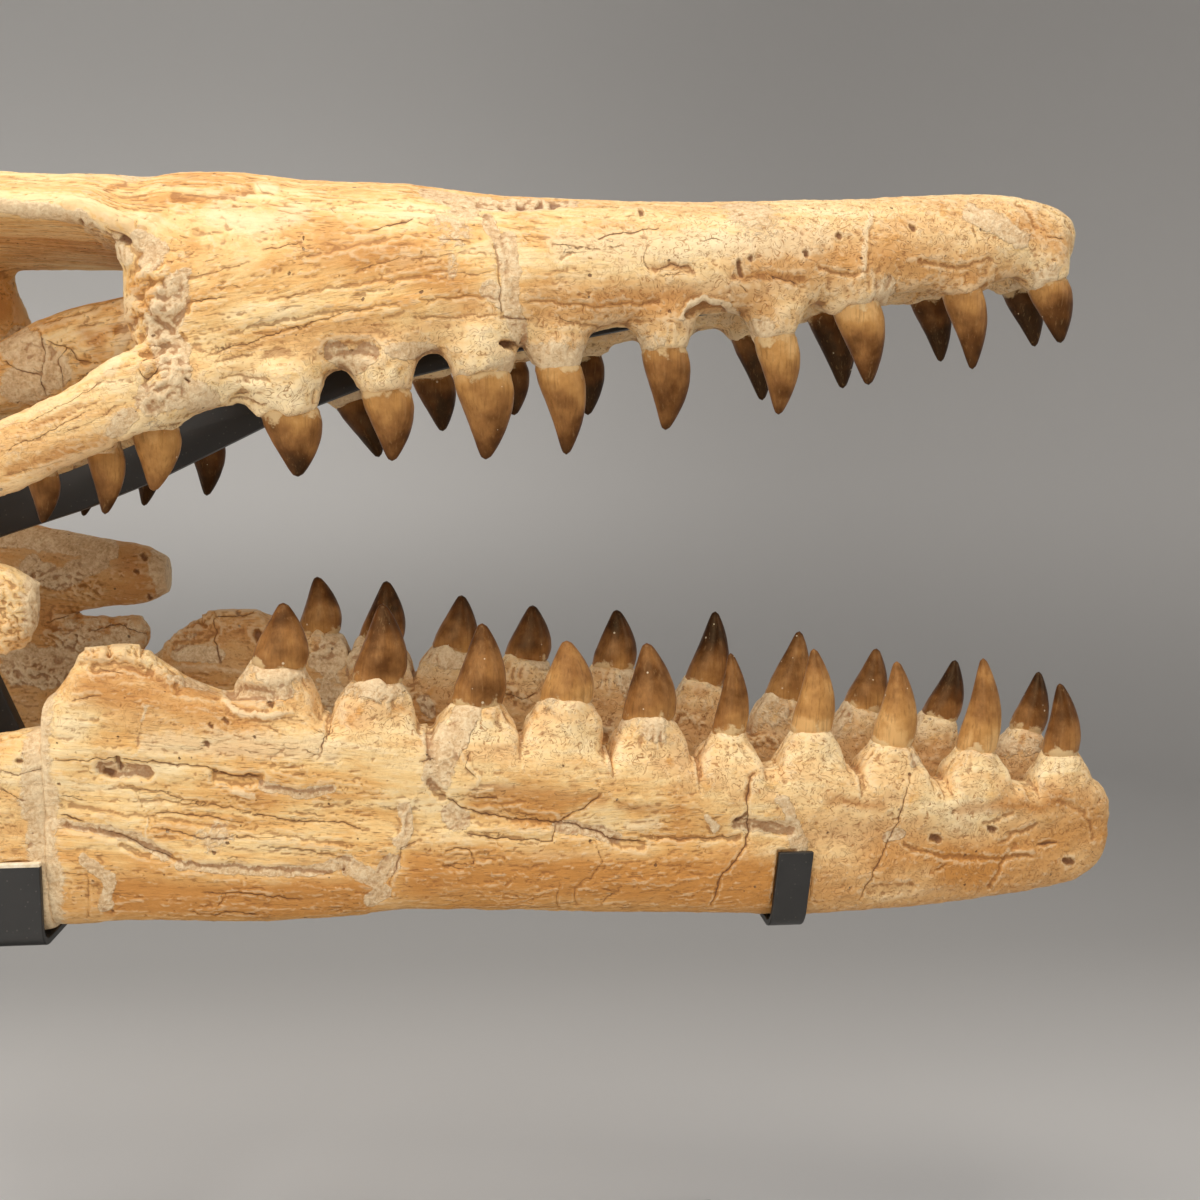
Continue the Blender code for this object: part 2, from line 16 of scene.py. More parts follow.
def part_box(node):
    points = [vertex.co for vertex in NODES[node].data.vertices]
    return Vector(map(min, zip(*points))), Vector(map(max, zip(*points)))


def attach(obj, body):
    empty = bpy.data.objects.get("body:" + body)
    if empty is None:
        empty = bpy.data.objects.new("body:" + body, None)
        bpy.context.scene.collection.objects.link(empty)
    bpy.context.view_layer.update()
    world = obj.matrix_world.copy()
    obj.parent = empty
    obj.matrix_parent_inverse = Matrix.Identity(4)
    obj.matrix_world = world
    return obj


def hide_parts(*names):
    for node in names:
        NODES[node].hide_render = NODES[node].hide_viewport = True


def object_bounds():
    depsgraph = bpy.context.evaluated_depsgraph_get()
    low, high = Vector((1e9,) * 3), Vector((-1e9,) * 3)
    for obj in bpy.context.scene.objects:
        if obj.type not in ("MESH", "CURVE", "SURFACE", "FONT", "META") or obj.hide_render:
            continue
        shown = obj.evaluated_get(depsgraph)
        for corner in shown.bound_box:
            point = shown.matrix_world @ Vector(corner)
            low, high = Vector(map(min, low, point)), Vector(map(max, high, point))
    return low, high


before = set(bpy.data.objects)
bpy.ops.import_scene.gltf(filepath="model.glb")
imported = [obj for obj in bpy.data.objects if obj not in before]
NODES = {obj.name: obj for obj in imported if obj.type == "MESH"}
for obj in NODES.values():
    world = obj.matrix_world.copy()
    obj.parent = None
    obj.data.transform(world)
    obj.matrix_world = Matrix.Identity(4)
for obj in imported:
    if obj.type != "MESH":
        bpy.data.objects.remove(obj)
CAD_BOX = [list(corner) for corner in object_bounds()]
MM = 0.001
print("frame:", len(NODES), "solids, box in metres", CAD_BOX)

# %% [markdown]
# The camera comes first, because the marks on the bones are placed by where they fall in the photograph.
# It stands at the height of the mouth and looks a little down and to the right, close enough that the rear
# of the skull and the base are outside the picture.

# %% Camera
PHOTO_SIDE = 1200  # pixels
SENSOR = 36  # mm
LENS = 37.5  # mm
CAMERA_PLACE = (0.150, -0.815, 0.610)
LOOKS_DOWN = 5.9  # degrees
LOOKS_RIGHT = 5.5
SNOUT_TIP = (0.5415, 0, 0.765)


def new_object(name, data):
    """An object in the scene, at the origin."""
    obj = bpy.data.objects.new(name, data)
    bpy.context.scene.collection.objects.link(obj)
    return obj


camera = new_object("camera", bpy.data.cameras.new("camera"))
camera.data.sensor_width = SENSOR
camera.data.lens = LENS
camera.location = CAMERA_PLACE
camera.rotation_euler = (math.radians(90 - LOOKS_DOWN), 0, math.radians(-LOOKS_RIGHT))
bpy.context.scene.camera = camera
bpy.context.scene.view_settings.view_transform = "Standard"  # keeps the honey tones that a film curve greys
bpy.context.view_layer.update()
CAMERA_AXES = np.array(camera.matrix_world.to_3x3())
FOCAL = PHOTO_SIDE * LENS / SENSOR


def photo_pixel(points):
    """Where points of the model fall in the photograph, in pixels from its top left corner."""
    seen = (points - np.array(CAMERA_PLACE)) @ CAMERA_AXES
    return PHOTO_SIDE / 2 + FOCAL * seen[:, :2] * (1, -1) / -seen[:, 2:]


print("the snout's tip falls at", photo_pixel(np.array([SNOUT_TIP]))[0].round())

# %% [markdown]
# Each finish is a tree of nodes. They could be placed by hand in the shader editor, but one small function
# that adds a node with its settings and links keeps a whole material on one page. Colours are written as
# the hex values that a paint program shows, and layers of colour are laid over one another as a painter
# would lay glazes.

# %% Helpers for materials


def linear(hex_colour):
    """The linear colour of an sRGB hex value such as #d9b891."""
    channels = [int(hex_colour[i : i + 2], 16) / 255 for i in (1, 3, 5)]
    turned = [c / 12.92 if c <= 0.04045 else ((c + 0.055) / 1.055) ** 2.4 for c in channels]
    return (*turned, 1)


MATH = "ShaderNodeMath"
VECTOR_MATH = "ShaderNodeVectorMath"
NOISE = "ShaderNodeTexNoise"
CELLS = "ShaderNodeTexVoronoi"
RANGE = "ShaderNodeMapRange"
RAMP = "ShaderNodeValToRGB"
MIX = "ShaderNodeMix"
ATTRIBUTE = "ShaderNodeAttribute"
COORDINATES = "ShaderNodeTexCoord"
BUMP = "ShaderNodeBump"
STEP = {"interpolation_type": "SMOOTHSTEP"}  # a Map Range node that eases in and out


def add_node(tree, kind, inputs=(), output=0, stops=(), **settings):
    """Adds a node with its settings, fed by values or by other nodes' outputs, and gives one output."""
    node = tree.nodes.new(kind)
    for name, value in settings.items():
        setattr(node, name, value)
    for key, value in inputs.items() if isinstance(inputs, dict) else enumerate(inputs):
        if isinstance(value, bpy.types.NodeSocket):
            tree.links.new(value, node.inputs[key])
        else:
            node.inputs[key].default_value = value
    for number, (place, shade) in enumerate(stops):
        ramp = node.color_ramp.elements
        element = ramp[number] if number < 2 else ramp.new(1)
        element.position = place
        element.color = linear(shade)
    return node.outputs[output] if node.outputs else node


def new_material(name, roughness, ior):
    """A material with a Principled shader, and that shader."""
    material = bpy.data.materials.new(name)
    material.use_nodes = True
    shader = material.node_tree.nodes["Principled BSDF"]
    shader.inputs["Roughness"].default_value = roughness
    shader.inputs["IOR"].default_value = ior
    return material, material.node_tree, shader


def paint_over(add, below, layers):
    """Lays colours over one another: each layer has how much shows, a strength and a hex colour or output."""
    for amount, strength, shade in layers:
        part = add(MATH, (amount, strength), operation="MULTIPLY")
        above = linear(shade) if isinstance(shade, str) else shade
        below = add(MIX, {0: part, 6: below, 7: above}, 2, data_type="RGBA")
    return below


print("a mid grey of #808080 is", round(linear("#808080")[0], 3), "in linear light")

# %% [markdown]
# The backdrop is a pale bowl: a floor that turns up into a wall all round, so that every view of the skull
# has the same plain ground behind it. It is a profile turned about the vertical, and it isn't part of the
# object.

# %% Backdrop
FLOOR_RADIUS = 2.1  # metres
FLOOR_RINGS = 4
WALL_RADIUS = 3.0
WALL_HEIGHT = 3.2
BEND_STEPS = 12
BOWL_SIDES = 96
BOARD_GREY = "#b0b0b0"
# Painted light and shade laid over the grey: the axis it fades along, where it starts and is full in metres,
# how much of it there is, and its colour. The floor near the skull and in front of it is lightened where the
# skull's shadow falls, the wall is lighter low down and darker at its top, and the right side is darker as
# the light falls off; the grey is left low down behind the skull.
BOARD_LIGHT_AND_SHADE = (
    ("Y", 0.75, 0.2, 1.0, "#e9e9e9"),
    ("Z", 0.0, 0.6, 1.0, "#e9e9e9"),
    ("Z", 0.7, 1.9, 1.0, "#cbcbcb"),
    ("X", -0.6, 1.3, 0.64, "#a1a0a0"),
)


def bowl_profile():
    """The radius and height of each ring, from the middle of the floor to the top of the wall."""
    bend = WALL_RADIUS - FLOOR_RADIUS
    rings = [(FLOOR_RADIUS * step / FLOOR_RINGS, 0) for step in range(1, FLOOR_RINGS + 1)]
    for step in range(1, BEND_STEPS + 1):
        angle = math.pi / 2 * step / BEND_STEPS
        rings.append((FLOOR_RADIUS + bend * math.sin(angle), bend * (1 - math.cos(angle))))
    return rings + [(WALL_RADIUS, WALL_HEIGHT)]


def mesh_object(bm, name):
    """An object from what was built in bmesh, which is then let go."""
    mesh = bpy.data.meshes.new(name)
    bm.to_mesh(mesh)
    bm.free()
    return new_object(name, mesh)


def make_backdrop():
    """The profile turned about the vertical, closed in the middle of the floor."""
    bm = bmesh.new()
    middle = bm.verts.new((0, 0, 0))
    before = None
    for radius, height in bowl_profile():
        angles = [math.tau * side / BOWL_SIDES for side in range(BOWL_SIDES)]
        ring = [bm.verts.new((radius * math.cos(a), radius * math.sin(a), height)) for a in angles]
        for side in range(BOWL_SIDES):
            beside = (side + 1) % BOWL_SIDES
            if before:
                bm.faces.new((before[side], ring[side], ring[beside], before[beside]))
            else:
                bm.faces.new((middle, ring[side], ring[beside]))
        before = ring
    obj = mesh_object(bm, "backdrop")
    obj.data.shade_smooth()
    return obj


def painted_board():
    """Matt board, pale, with painted light and shade over it, and too rough to show a reflection."""
    material, tree, shader = new_material("matt_painted_board", roughness=0.9, ior=1.45)
    add = functools.partial(add_node, tree)
    spot = add("ShaderNodeSeparateXYZ", (add(COORDINATES, (), "Object"),)).node.outputs
    layers = []
    for axis, start, full, strength, shade in BOARD_LIGHT_AND_SHADE:
        layers.append((add(RANGE, (spot[axis], start, full), **STEP), strength, shade))
    grey = paint_over(add, linear(BOARD_GREY), layers)
    tree.links.new(grey, shader.inputs["Base Color"])
    return material


backdrop = make_backdrop()
backdrop.data.materials.append(painted_board())
print("backdrop:", len(backdrop.data.vertices), "points")

# %% [markdown]
# The photograph's light is soft and comes from above and in front: the top of each bone is bright, the
# sides under the ridges are in half shade, and the far jaw is dark. A wide lamp above the skull does most of
# this, with a large one behind the camera and to its left for the side that we see. Two upright lamps at the
# sides and a weak one at the back open the shadows, and a warm grey world fills the rest.

# %% Lights
WORLD_GREY = "#dfdbd6"
WORLD_STRENGTH = 0.42
MIDDLE = (0.05, 0, 0.58)  # the point that every lamp faces
# Each lamp: place, width and height in metres, power in watts and colour
LAMPS = {
    "key_light": ((-0.15, -0.55, 2.3), 1.7, 0.9, 28, "#fff6ea"),
    "front_light": ((-0.5, -2.1, 1.5), 1.6, 1.2, 19, "#fffaf2"),
    "left_light": ((-1.7, -1.1, 1.4), 0.8, 1.4, 6, "#ffffff"),
    "right_light": ((1.7, -0.9, 1.4), 0.8, 1.4, 6, "#ffffff"),
    "back_light": ((0.2, 1.5, 2.2), 1.6, 0.8, 4, "#ffffff"),
}


def soft_box(name, place, width, height, power, colour):
    """An area lamp that faces the middle of the skull."""
    lamp = bpy.data.lights.new(name, "AREA")
    lamp.shape = "RECTANGLE"
    lamp.size = width
    lamp.size_y = height
    lamp.energy = power
    lamp.color = linear(colour)[:3]
    obj = new_object(name, lamp)
    obj.location = place
    obj.rotation_euler = (Vector(MIDDLE) - Vector(place)).to_track_quat("-Z", "Y").to_euler()


for name, settings in LAMPS.items():
    soft_box(name, *settings)
world = bpy.data.worlds.new("warm_grey")
world.use_nodes = True
sky = world.node_tree.nodes["Background"].inputs
sky["Color"].default_value = linear(WORLD_GREY)
sky["Strength"].default_value = WORLD_STRENGTH
bpy.context.scene.world = world

# %% [markdown]
# ## Fossil bone
# Bone that has turned to stone keeps its fibres. Where the outer skin has flaked, they show as long fine
# grooves with iron-brown in them, and in front the surface is wormy and full of pores. Grey-buff matrix,
# the rock that held it, still fills hollows and seams. A picture could be wrapped round the bones, but it
# would stretch and its seams would show, so the colour comes from noise. It follows an attribute called
# grain, which is the place on the bone with the fibres' slope taken out, and masks for what the strokes
# below mark. The same patterns drive colour and bump.

# %% Fossil bone material
BONE_IOR = 1.55  # stone-filled bone, thinly sealed
# Each field of noise: whether it follows the fibres, its size in millimetres along and across them,
# its detail, the strength of the detail and how much it bends
BONE_FIELDS = {
    "patch": (True, 75, 42, 5.0, 0.62, 0.4),
    "band": (True, 110, 12, 4.0, 0.60, 0.5),
    "fibre": (True, 60, 3.6, 3.0, 0.55, 0.35),
    "streak": (True, 22, 1.3, 2.5, 0.60, 0.2),
    "dash": (True, 9, 0.95, 1.5, 0.50, 0.2),
    "gap": (True, 26, 8, 3.0, 0.60, 0.0),
    "worm": (False, 10, 8, 1.6, 0.50, 1.9),
    "curl": (False, 4, 3.5, 1.0, 0.50, 0.0),
    "blotch": (False, 14, 11, 5.0, 0.65, 0.0),
    "crumb": (False, 4.5, 4.5, 3.0, 0.65, 0.6),
    "grit": (False, 1.7, 1.7, 3.0, 0.70, 0.0),
}
# What shows in a field: the field, where the mark starts to show in it, and where it is full
BONE_MARKS = {
    "worm zone": ("blotch", 0.28, 0.46),
    "worm": ("curl", 0.38, 0.50),
    "split": ("gap", 0.50, 0.60),
    "dash": ("dash", 0.60, 0.67),
    "dash zone": ("patch", 0.40, 0.56),
    "pore zone": ("band", 0.40, 0.55),
    "pale streak": ("streak", 0.42, 0.28),
    "dark streak": ("streak", 0.58, 0.74),
    "blotch": ("blotch", 0.54, 0.68),
}
# Thin lines: how far apart in the field's value they run, and their half-width in it
BONE_LINES = {"fibre": (0.15, 0.011), "worm": (0.08, 0.02)}
# Round holes: spacing in millimetres, the share of the cells that have one, and its reach in cells
HOLE_KINDS = {"pit": (8, 0.26, 0.16), "pore": (3.4, 0.34, 0.17)}
HOLE_BEND = 2 * MM  # how far the holes' cells are bent, so that they don't stand in rows
HOLE_BEND_SIZE = 3 * MM
BONE_STOPS = ((0.39, "#fbe0ac"), (0.46, "#f6cf8c"), (0.53, "#ecb669"), (0.61, "#d99a4b"))
MATRIX_STOPS = ((0.36, "#ba9468"), (0.48, "#d9b88c"), (0.60, "#eed6ae"))
BONE_ROUGH = 0.52  # where the sealer is thickest
BONE_ROUGHEST = 0.78
BONE_MASKS = (
    "wormy", "pale", "honey", "rusty", "filler", "broken", "hole", "cavity", "crack_side", "crack_wide"
)


def fossil_bone():
    """Permineralised bone, mechanically cleaned and sealed: cream to honey, matt, with fine relief."""
    material, tree, shader = new_material("fossil_bone", roughness=0.62, ior=BONE_IOR)
    add = functools.partial(add_node, tree)
    grain = add(ATTRIBUTE, (), "Vector", attribute_name="grain")
    place = add(COORDINATES, (), "Object")
    mask = {name: add(ATTRIBUTE, (), "Fac", attribute_name=name) for name in BONE_MASKS}
    field = {}
    for name, (follows, along, across, detail, rough, bend) in BONE_FIELDS.items():
        scale = (1 / (along * MM), 1 / (across * MM), 1 / (across * MM))
        moved = add(VECTOR_MATH, (grain if follows else place, scale), operation="MULTIPLY")
        inputs = {"Vector": moved, "Scale": 1, "Detail": detail, "Roughness": rough, "Distortion": bend}
        field[name] = add(NOISE, inputs)

    shows = {}
    for name, (source, start, full) in BONE_MARKS.items():
        shows[name] = add(RANGE, (field[source], start, full), **STEP)

    # Thin lines run where a noise passes set values: worm tracks in the wormy zones, splits outside them
    lines = {}
    for name, (spacing, width) in BONE_LINES.items():
        near = add(MATH, (field[name], spacing), operation="PINGPONG")
        lines[name] = add(RANGE, (near, width, width * 0.2), **STEP)
    worm_zone = add(MATH, (shows["worm zone"], mask["wormy"]), operation="MULTIPLY")
    worm = add(MATH, (lines["worm"], worm_zone), operation="MULTIPLY")
    worm = add(MATH, (worm, shows["worm"]), operation="MULTIPLY")
    straight = add(MATH, (worm_zone, -0.9, 1.0), operation="MULTIPLY_ADD")
    split = add(MATH, (shows["split"], lines["fibre"]), operation="MULTIPLY")
    dash = add(MATH, (shows["dash"], shows["dash zone"]), operation="MULTIPLY")
    fibrous = (split, dash, shows["pale streak"], shows["dark streak"])
    split, dash, pale_streak, dark_streak = (
        add(MATH, (layer, straight), operation="MULTIPLY") for layer in fibrous
    )

    # Round holes, the small ones where the bone is banded or wormy
    uneven = add(NOISE, {"Vector": grain, "Scale": 1 / HOLE_BEND_SIZE}, "Color")
    bent = add(VECTOR_MATH, (uneven, (HOLE_BEND,) * 3, grain), operation="MULTIPLY_ADD")
    holes = {}
    for name, (spacing, share, reach) in HOLE_KINDS.items():
        cells = add(CELLS, {"Vector": bent, "Scale": 1 / (spacing * MM)}).node
        pick = add("ShaderNodeSeparateColor", (cells.outputs["Color"],))
        size = add(RANGE, (pick, 1 - share, 1.0, 0.0, reach), **STEP)
        inside = add(MATH, (size, cells.outputs["Distance"]), operation="SUBTRACT")
        holes[name] = add(RANGE, (inside, 0.0, reach * 0.35), **STEP)
    zone = add(MATH, (shows["pore zone"], worm_zone), operation="MAXIMUM")
    holes["pore"] = add(MATH, (holes["pore"], zone), operation="MULTIPLY")

    # A crack shows where the stored distance to its line is under its stored width, both in millimetres
    jitter = add(MATH, (field["grit"], -0.9, 0.45), operation="MULTIPLY_ADD")
    off_line = add(MATH, (mask["crack_side"], jitter), operation="ADD")
    off_line = add(MATH, (off_line,), operation="ABSOLUTE")
    crack = add(MATH, (mask["crack_wide"], off_line), operation="SUBTRACT")
    crack = add(RANGE, (crack, -0.12, 0.10), **STEP)
    crack = add(MATH, (crack, add(RANGE, (mask["crack_wide"], 0.04, 0.14), **STEP)), operation="MULTIPLY")
    crack = add(MATH, (crack, mask["hole"]), operation="MAXIMUM")

    # The edges of matrix and of pale places are ragged
    ragged = add(MATH, (field["blotch"], field["crumb"]), operation="ADD")
    ragged = add(MATH, (ragged, -1.0), operation="ADD")
    filler = add(MATH, (ragged, 0.9, mask["filler"]), operation="MULTIPLY_ADD")
    filler = add(RANGE, (filler, 0.34, 0.62), **STEP)
    filler = add(MATH, (filler, add(RANGE, (mask["filler"], 0.05, 0.25), **STEP)), operation="MULTIPLY")
    pale = add(MATH, (ragged, 1.1, mask["pale"]), operation="MULTIPLY_ADD")
    pale = add(RANGE, (pale, 0.25, 0.85), **STEP)
    pale = add(MATH, (pale, add(RANGE, (mask["pale"], 0.05, 0.3), **STEP)), operation="MULTIPLY")
    open_bone = add(MATH, (filler, -0.85, 1.0), operation="MULTIPLY_ADD")

    tone = add(MIX, {0: 0.45, 2: field["patch"], 3: field["band"]})
    colour = add(RAMP, (tone,), stops=BONE_STOPS)
    mud = add(MIX, {0: 0.5, 2: field["grit"], 3: field["crumb"]})
    matrix = add(RAMP, (mud,), stops=MATRIX_STOPS)
    layers = (
        (pale_streak, 0.5, "#f8deae"),
        (dark_streak, 0.5, "#c88a42"),
        (shows["blotch"], 0.5, "#d3974c"),
        (worm_zone, 0.38, "#fde6b8"),
        # honey-brown stain, and painted shade along the lower jaws' lower edges and on the far rear jaw's
        # inner side
        (mask["honey"], 0.75, "#c98a3f"),
        (pale, 0.5, "#f5deb4"),
        # rust stains, and painted shade on the far dentary's inner side
        (mask["rusty"], 0.6, "#bf7e37"),
        (dash, 0.65, "#a0682e"),
        (split, 0.7, "#8f5a26"),
        (worm, 0.75, "#ab6c29"),
        (filler, 0.9, matrix),
        (holes["pore"], 0.75, "#8f5a2a"),
        (holes["pit"], 0.85, "#6f441c"),
        # painted shade in the surface's hollows and a painted highlight on its crests, from the stored cavity
        (add(RANGE, (mask["cavity"], 0.47, 0.10), **STEP), 0.6, "#94591f"),
        (add(RANGE, (mask["cavity"], 0.58, 0.95), **STEP), 0.35, "#fae4bc"),
        (crack, 0.8, "#734520"),
    )
    tree.links.new(paint_over(add, colour, layers), shader.inputs["Base Color"])
    rough = add(RANGE, {0: field["blotch"], 3: BONE_ROUGH, 4: BONE_ROUGHEST})
    tree.links.new(rough, shader.inputs["Roughness"])

    # Each layer's height is in millimetres; matrix hides what lies in the bone
    height = 0.0
    for layer, rise in ((field["fibre"], 0.8), (field["streak"], 0.45), (dash, -0.22), (split, -0.4)):
        height = add(MATH, (layer, rise, height), operation="MULTIPLY_ADD")
    height = add(MATH, (height, straight), operation="MULTIPLY")
    height = add(MATH, (worm, -0.3, height), operation="MULTIPLY_ADD")
    height = add(MATH, (height, open_bone), operation="MULTIPLY")
    rubble = add(MATH, (filler, mask["broken"]), operation="MAXIMUM")
    rubble = add(MATH, (rubble, field["crumb"]), operation="MULTIPLY")
    for layer, rise in (
        (rubble, 1.5),
        (field["grit"], 0.22),
        (field["blotch"], 0.6),
        (holes["pit"], -0.8),
        (holes["pore"], -0.35),
        (crack, -0.7),
    ):
        height = add(MATH, (layer, rise, height), operation="MULTIPLY_ADD")
    normal = add(BUMP, {"Strength": 1.0, "Distance": MM, "Height": height})
    tree.links.new(normal, shader.inputs["Normal"])
    return material


BONE = fossil_bone()
print("fossil bone:", len(BONE.node_tree.nodes), "nodes")

# %% [markdown]
# ## Tooth enamel
# Mosasaur enamel is glassy and brown, honey at the base of the crown and nearly black at its tip, with fine
# lines that run to the tip. It is the one glossy surface of the skull, so it takes a lower roughness and
# apatite's IOR. Two attributes are stored on each crown when it is made: height, from 0 at the base to 1 at
# the tip, and tone, how dark the enamel is there. So one material serves all the crowns, and no two match.

# %% Enamel material
APATITE_IOR = 1.63
WORN_GLOSS = 0.26  # of 0.5, because ages in rock have taken part of the enamel's reflection
WARM_GLOSS = "#f0cfa0"  # what is left of it comes from under a brown skin
ENAMEL_GLOSSIEST = 0.24  # roughness
ENAMEL_DULLEST = 0.50
MOTTLE_SIZE = 11 * MM
CLOUD_SIZE = 24 * MM
SPECK_SPACING = 4.6 * MM
SPECK_SHARE = 0.16  # of the cells
SPECK_REACH = 0.19  # of a cell
LINES_PER_METRE = (650, 650, 26)  # lines 1.5 mm apart, coarser than real ones so that they show, 38 mm long
ENAMEL_STOPS = ((0.0, "#d9ab6f"), (0.16, "#bd8b50"), (0.40, "#97683a"), (0.68, "#5f3919"), (0.95, "#2c1505"))


def tooth_enamel():
    """Fossil enamel: polished by nature, brown, darker to the tip, with pale mineral specks."""
    material, tree, shader = new_material("fossil_enamel", roughness=0.34, ior=APATITE_IOR)
    shader.inputs["Specular IOR Level"].default_value = WORN_GLOSS
    shader.inputs["Specular Tint"].default_value = linear(WARM_GLOSS)
    add = functools.partial(add_node, tree)
    place = add(COORDINATES, (), "Object")
    height = add(ATTRIBUTE, (), "Fac", attribute_name="height")
    tone = add(ATTRIBUTE, (), "Fac", attribute_name="tone")
    mottle = add(NOISE, {"Vector": place, "Scale": 1 / MOTTLE_SIZE, "Detail": 5, "Roughness": 0.6})
    cloud = add(NOISE, {"Vector": place, "Scale": 1 / CLOUD_SIZE, "Detail": 2})
    upright = add(VECTOR_MATH, (place, LINES_PER_METRE), operation="MULTIPLY")
    lines = add(NOISE, {"Vector": upright, "Scale": 1, "Detail": 3, "Roughness": 0.6})

    # Darker to the tip, by a border that is wavy rather than level
    depth = add(MATH, (mottle, 0.7, tone), operation="MULTIPLY_ADD")
    depth = add(MATH, (cloud, 0.9, depth), operation="MULTIPLY_ADD")
    depth = add(MATH, (depth, -0.8), operation="ADD")
    colour = add(RAMP, (depth,), stops=ENAMEL_STOPS)

    # A ragged pale edge where the enamel starts, and specks of mineral in some cells
    edge = add(MATH, (mottle, -0.8, height), operation="MULTIPLY_ADD")
    edge = add(RANGE, (edge, -0.33, -0.42), **STEP)
    cells = add(CELLS, {"Vector": place, "Scale": 1 / SPECK_SPACING}).node
    pick = add("ShaderNodeSeparateColor", (cells.outputs["Color"],), 1)
    reach = add(RANGE, (pick, 1 - SPECK_SHARE, 1.0, 0.0, SPECK_REACH), **STEP)
    speck = add(MATH, (reach, cells.outputs["Distance"]), operation="SUBTRACT")
    layers = (
        (add(RANGE, (lines, 0.48, 0.72), **STEP), 0.35, "#4f3018"),
        (add(RANGE, (lines, 0.44, 0.26), **STEP), 0.22, "#bd9664"),
        (edge, 0.75, "#e2c594"),
        (add(RANGE, (speck, 0.0, 0.05), **STEP), 0.7, "#ecdcbc"),
    )
    tree.links.new(paint_over(add, colour, layers), shader.inputs["Base Color"])
    rough = add(RANGE, {0: mottle, 3: ENAMEL_GLOSSIEST, 4: ENAMEL_DULLEST})
    tree.links.new(rough, shader.inputs["Roughness"])
    relief = add(MATH, (lines, mottle), operation="ADD")
    relief = add(MATH, (edge, 1.5, relief), operation="MULTIPLY_ADD")
    normal = add(BUMP, {"Strength": 0.6, "Distance": 0.2 * MM, "Height": relief})
    tree.links.new(normal, shader.inputs["Normal"])
    return material


ENAMEL = tooth_enamel()
print("enamel:", len(ENAMEL.node_tree.nodes), "nodes")

# %% [markdown]
# ## Painted steel
# The armature is bent and welded from flat bar and painted satin black, so that the eye passes over it.
# The paint has a faint orange-peel, a few specks of dust, and looks charcoal where the lamps reach it. The
# middle strap's upper end is a pale strip, a painted highlight where the overhead lamp lights its top. Under
# paint the metal doesn't show, so the shader is that of a coat of varnish, not a metal's.

# %% Steel materials
PAINT_IOR = 1.5
PEEL_SIZE = 2 * MM
PAINT_CLOUD = 33 * MM
DUST_SPACING = 3.8 * MM
HIGHLIGHT_GRAIN = 6 * MM
PAINT_STOPS = ((0.35, "#1e1e1d"), (0.65, "#2a2928"))
HIGHLIGHT_STOPS = ((0.35, "#d8c4a0"), (0.6, "#f4e9d2"))


def painted_steel():
    """Mild steel under satin black paint, brushed on and cured: dark, slightly uneven gloss."""
    material, tree, shader = new_material("satin_black_painted_steel", roughness=0.42, ior=PAINT_IOR)
    add = functools.partial(add_node, tree)
    place = add(COORDINATES, (), "Object")
    peel = add(NOISE, {"Vector": place, "Scale": 1 / PEEL_SIZE, "Detail": 2})
    cloud = add(NOISE, {"Vector": place, "Scale": 1 / PAINT_CLOUD, "Detail": 4})
    colour = add(RAMP, (cloud,), stops=PAINT_STOPS)
    dust = add(CELLS, {"Vector": place, "Scale": 1 / DUST_SPACING}, "Distance")
    speck = add(RANGE, (dust, 0.16, 0.08))
    colour = paint_over(add, colour, ((speck, 0.2, "#8a8178"),))
    tree.links.new(colour, shader.inputs["Base Color"])
    tree.links.new(add(RANGE, {0: cloud, 3: 0.34, 4: 0.55}), shader.inputs["Roughness"])
    normal = add(BUMP, {"Strength": 0.35, "Distance": 0.1 * MM, "Height": peel})
    tree.links.new(normal, shader.inputs["Normal"])
    return material


def strap_top_highlight():
    """A painted highlight on a strap's upper end, where the overhead lamp lights its top: pale and chalky."""
    material, tree, shader = new_material("pale_filled_edge", roughness=0.7, ior=PAINT_IOR)
    add = functools.partial(add_node, tree)
    place = add(COORDINATES, (), "Object")
    cloud = add(NOISE, {"Vector": place, "Scale": 1 / HIGHLIGHT_GRAIN, "Detail": 4})
    colour = add(RAMP, (cloud,), stops=HIGHLIGHT_STOPS)
    tree.links.new(colour, shader.inputs["Base Color"])
    return material


STEEL = painted_steel()
STRAP_TOP_HIGHLIGHT = strap_top_highlight()
print("steel:", STEEL.name, "and", STRAP_TOP_HIGHLIGHT.name)

# %% [markdown]
# ## The shape of the bones
# Each bone starts from its plain solid, whose flat facets are too clean for bone. A copy is remeshed into
# small even squares and its facets are smoothed away. Smoothing alone would thin the bars, so the slow part
# of what it took off is given back along the normals.

# %% Read and write a mesh's points
VOXEL = 2.7 * MM
SMOOTH_PASSES = 22
GIVE_BACK_PASSES = 70
SAME_PLACE = 0.01 * MM  # corners of the plain solids that are closer than this are one corner


def points_of(mesh):
    values = np.empty(len(mesh.vertices) * 3, dtype=np.float32)
    mesh.vertices.foreach_get("co", values)
    return values.reshape(-1, 3).astype(float)


def normals_of(mesh):
    values = np.empty(len(mesh.vertices) * 3, dtype=np.float32)
    mesh.vertex_normals.foreach_get("vector", values)
    return values.reshape(-1, 3).astype(float)


def edges_of(mesh):
    values = np.empty(len(mesh.edges) * 2, dtype=np.int32)
    mesh.edges.foreach_get("vertices", values)
    return values.reshape(-1, 2)


def put_points(mesh, points):
    mesh.vertices.foreach_set("co", points.astype(np.float32).ravel())
    mesh.update()


def put_attribute(mesh, name, values):
    """Stores a number or a vector for each point."""
    wide = values.ndim == 2
    kind = "FLOAT_VECTOR" if wide else "FLOAT"
    attribute = mesh.attributes.get(name) or mesh.attributes.new(name, kind, "POINT")
    attribute.data.foreach_set("vector" if wide else "value", values.astype(np.float32).ravel())


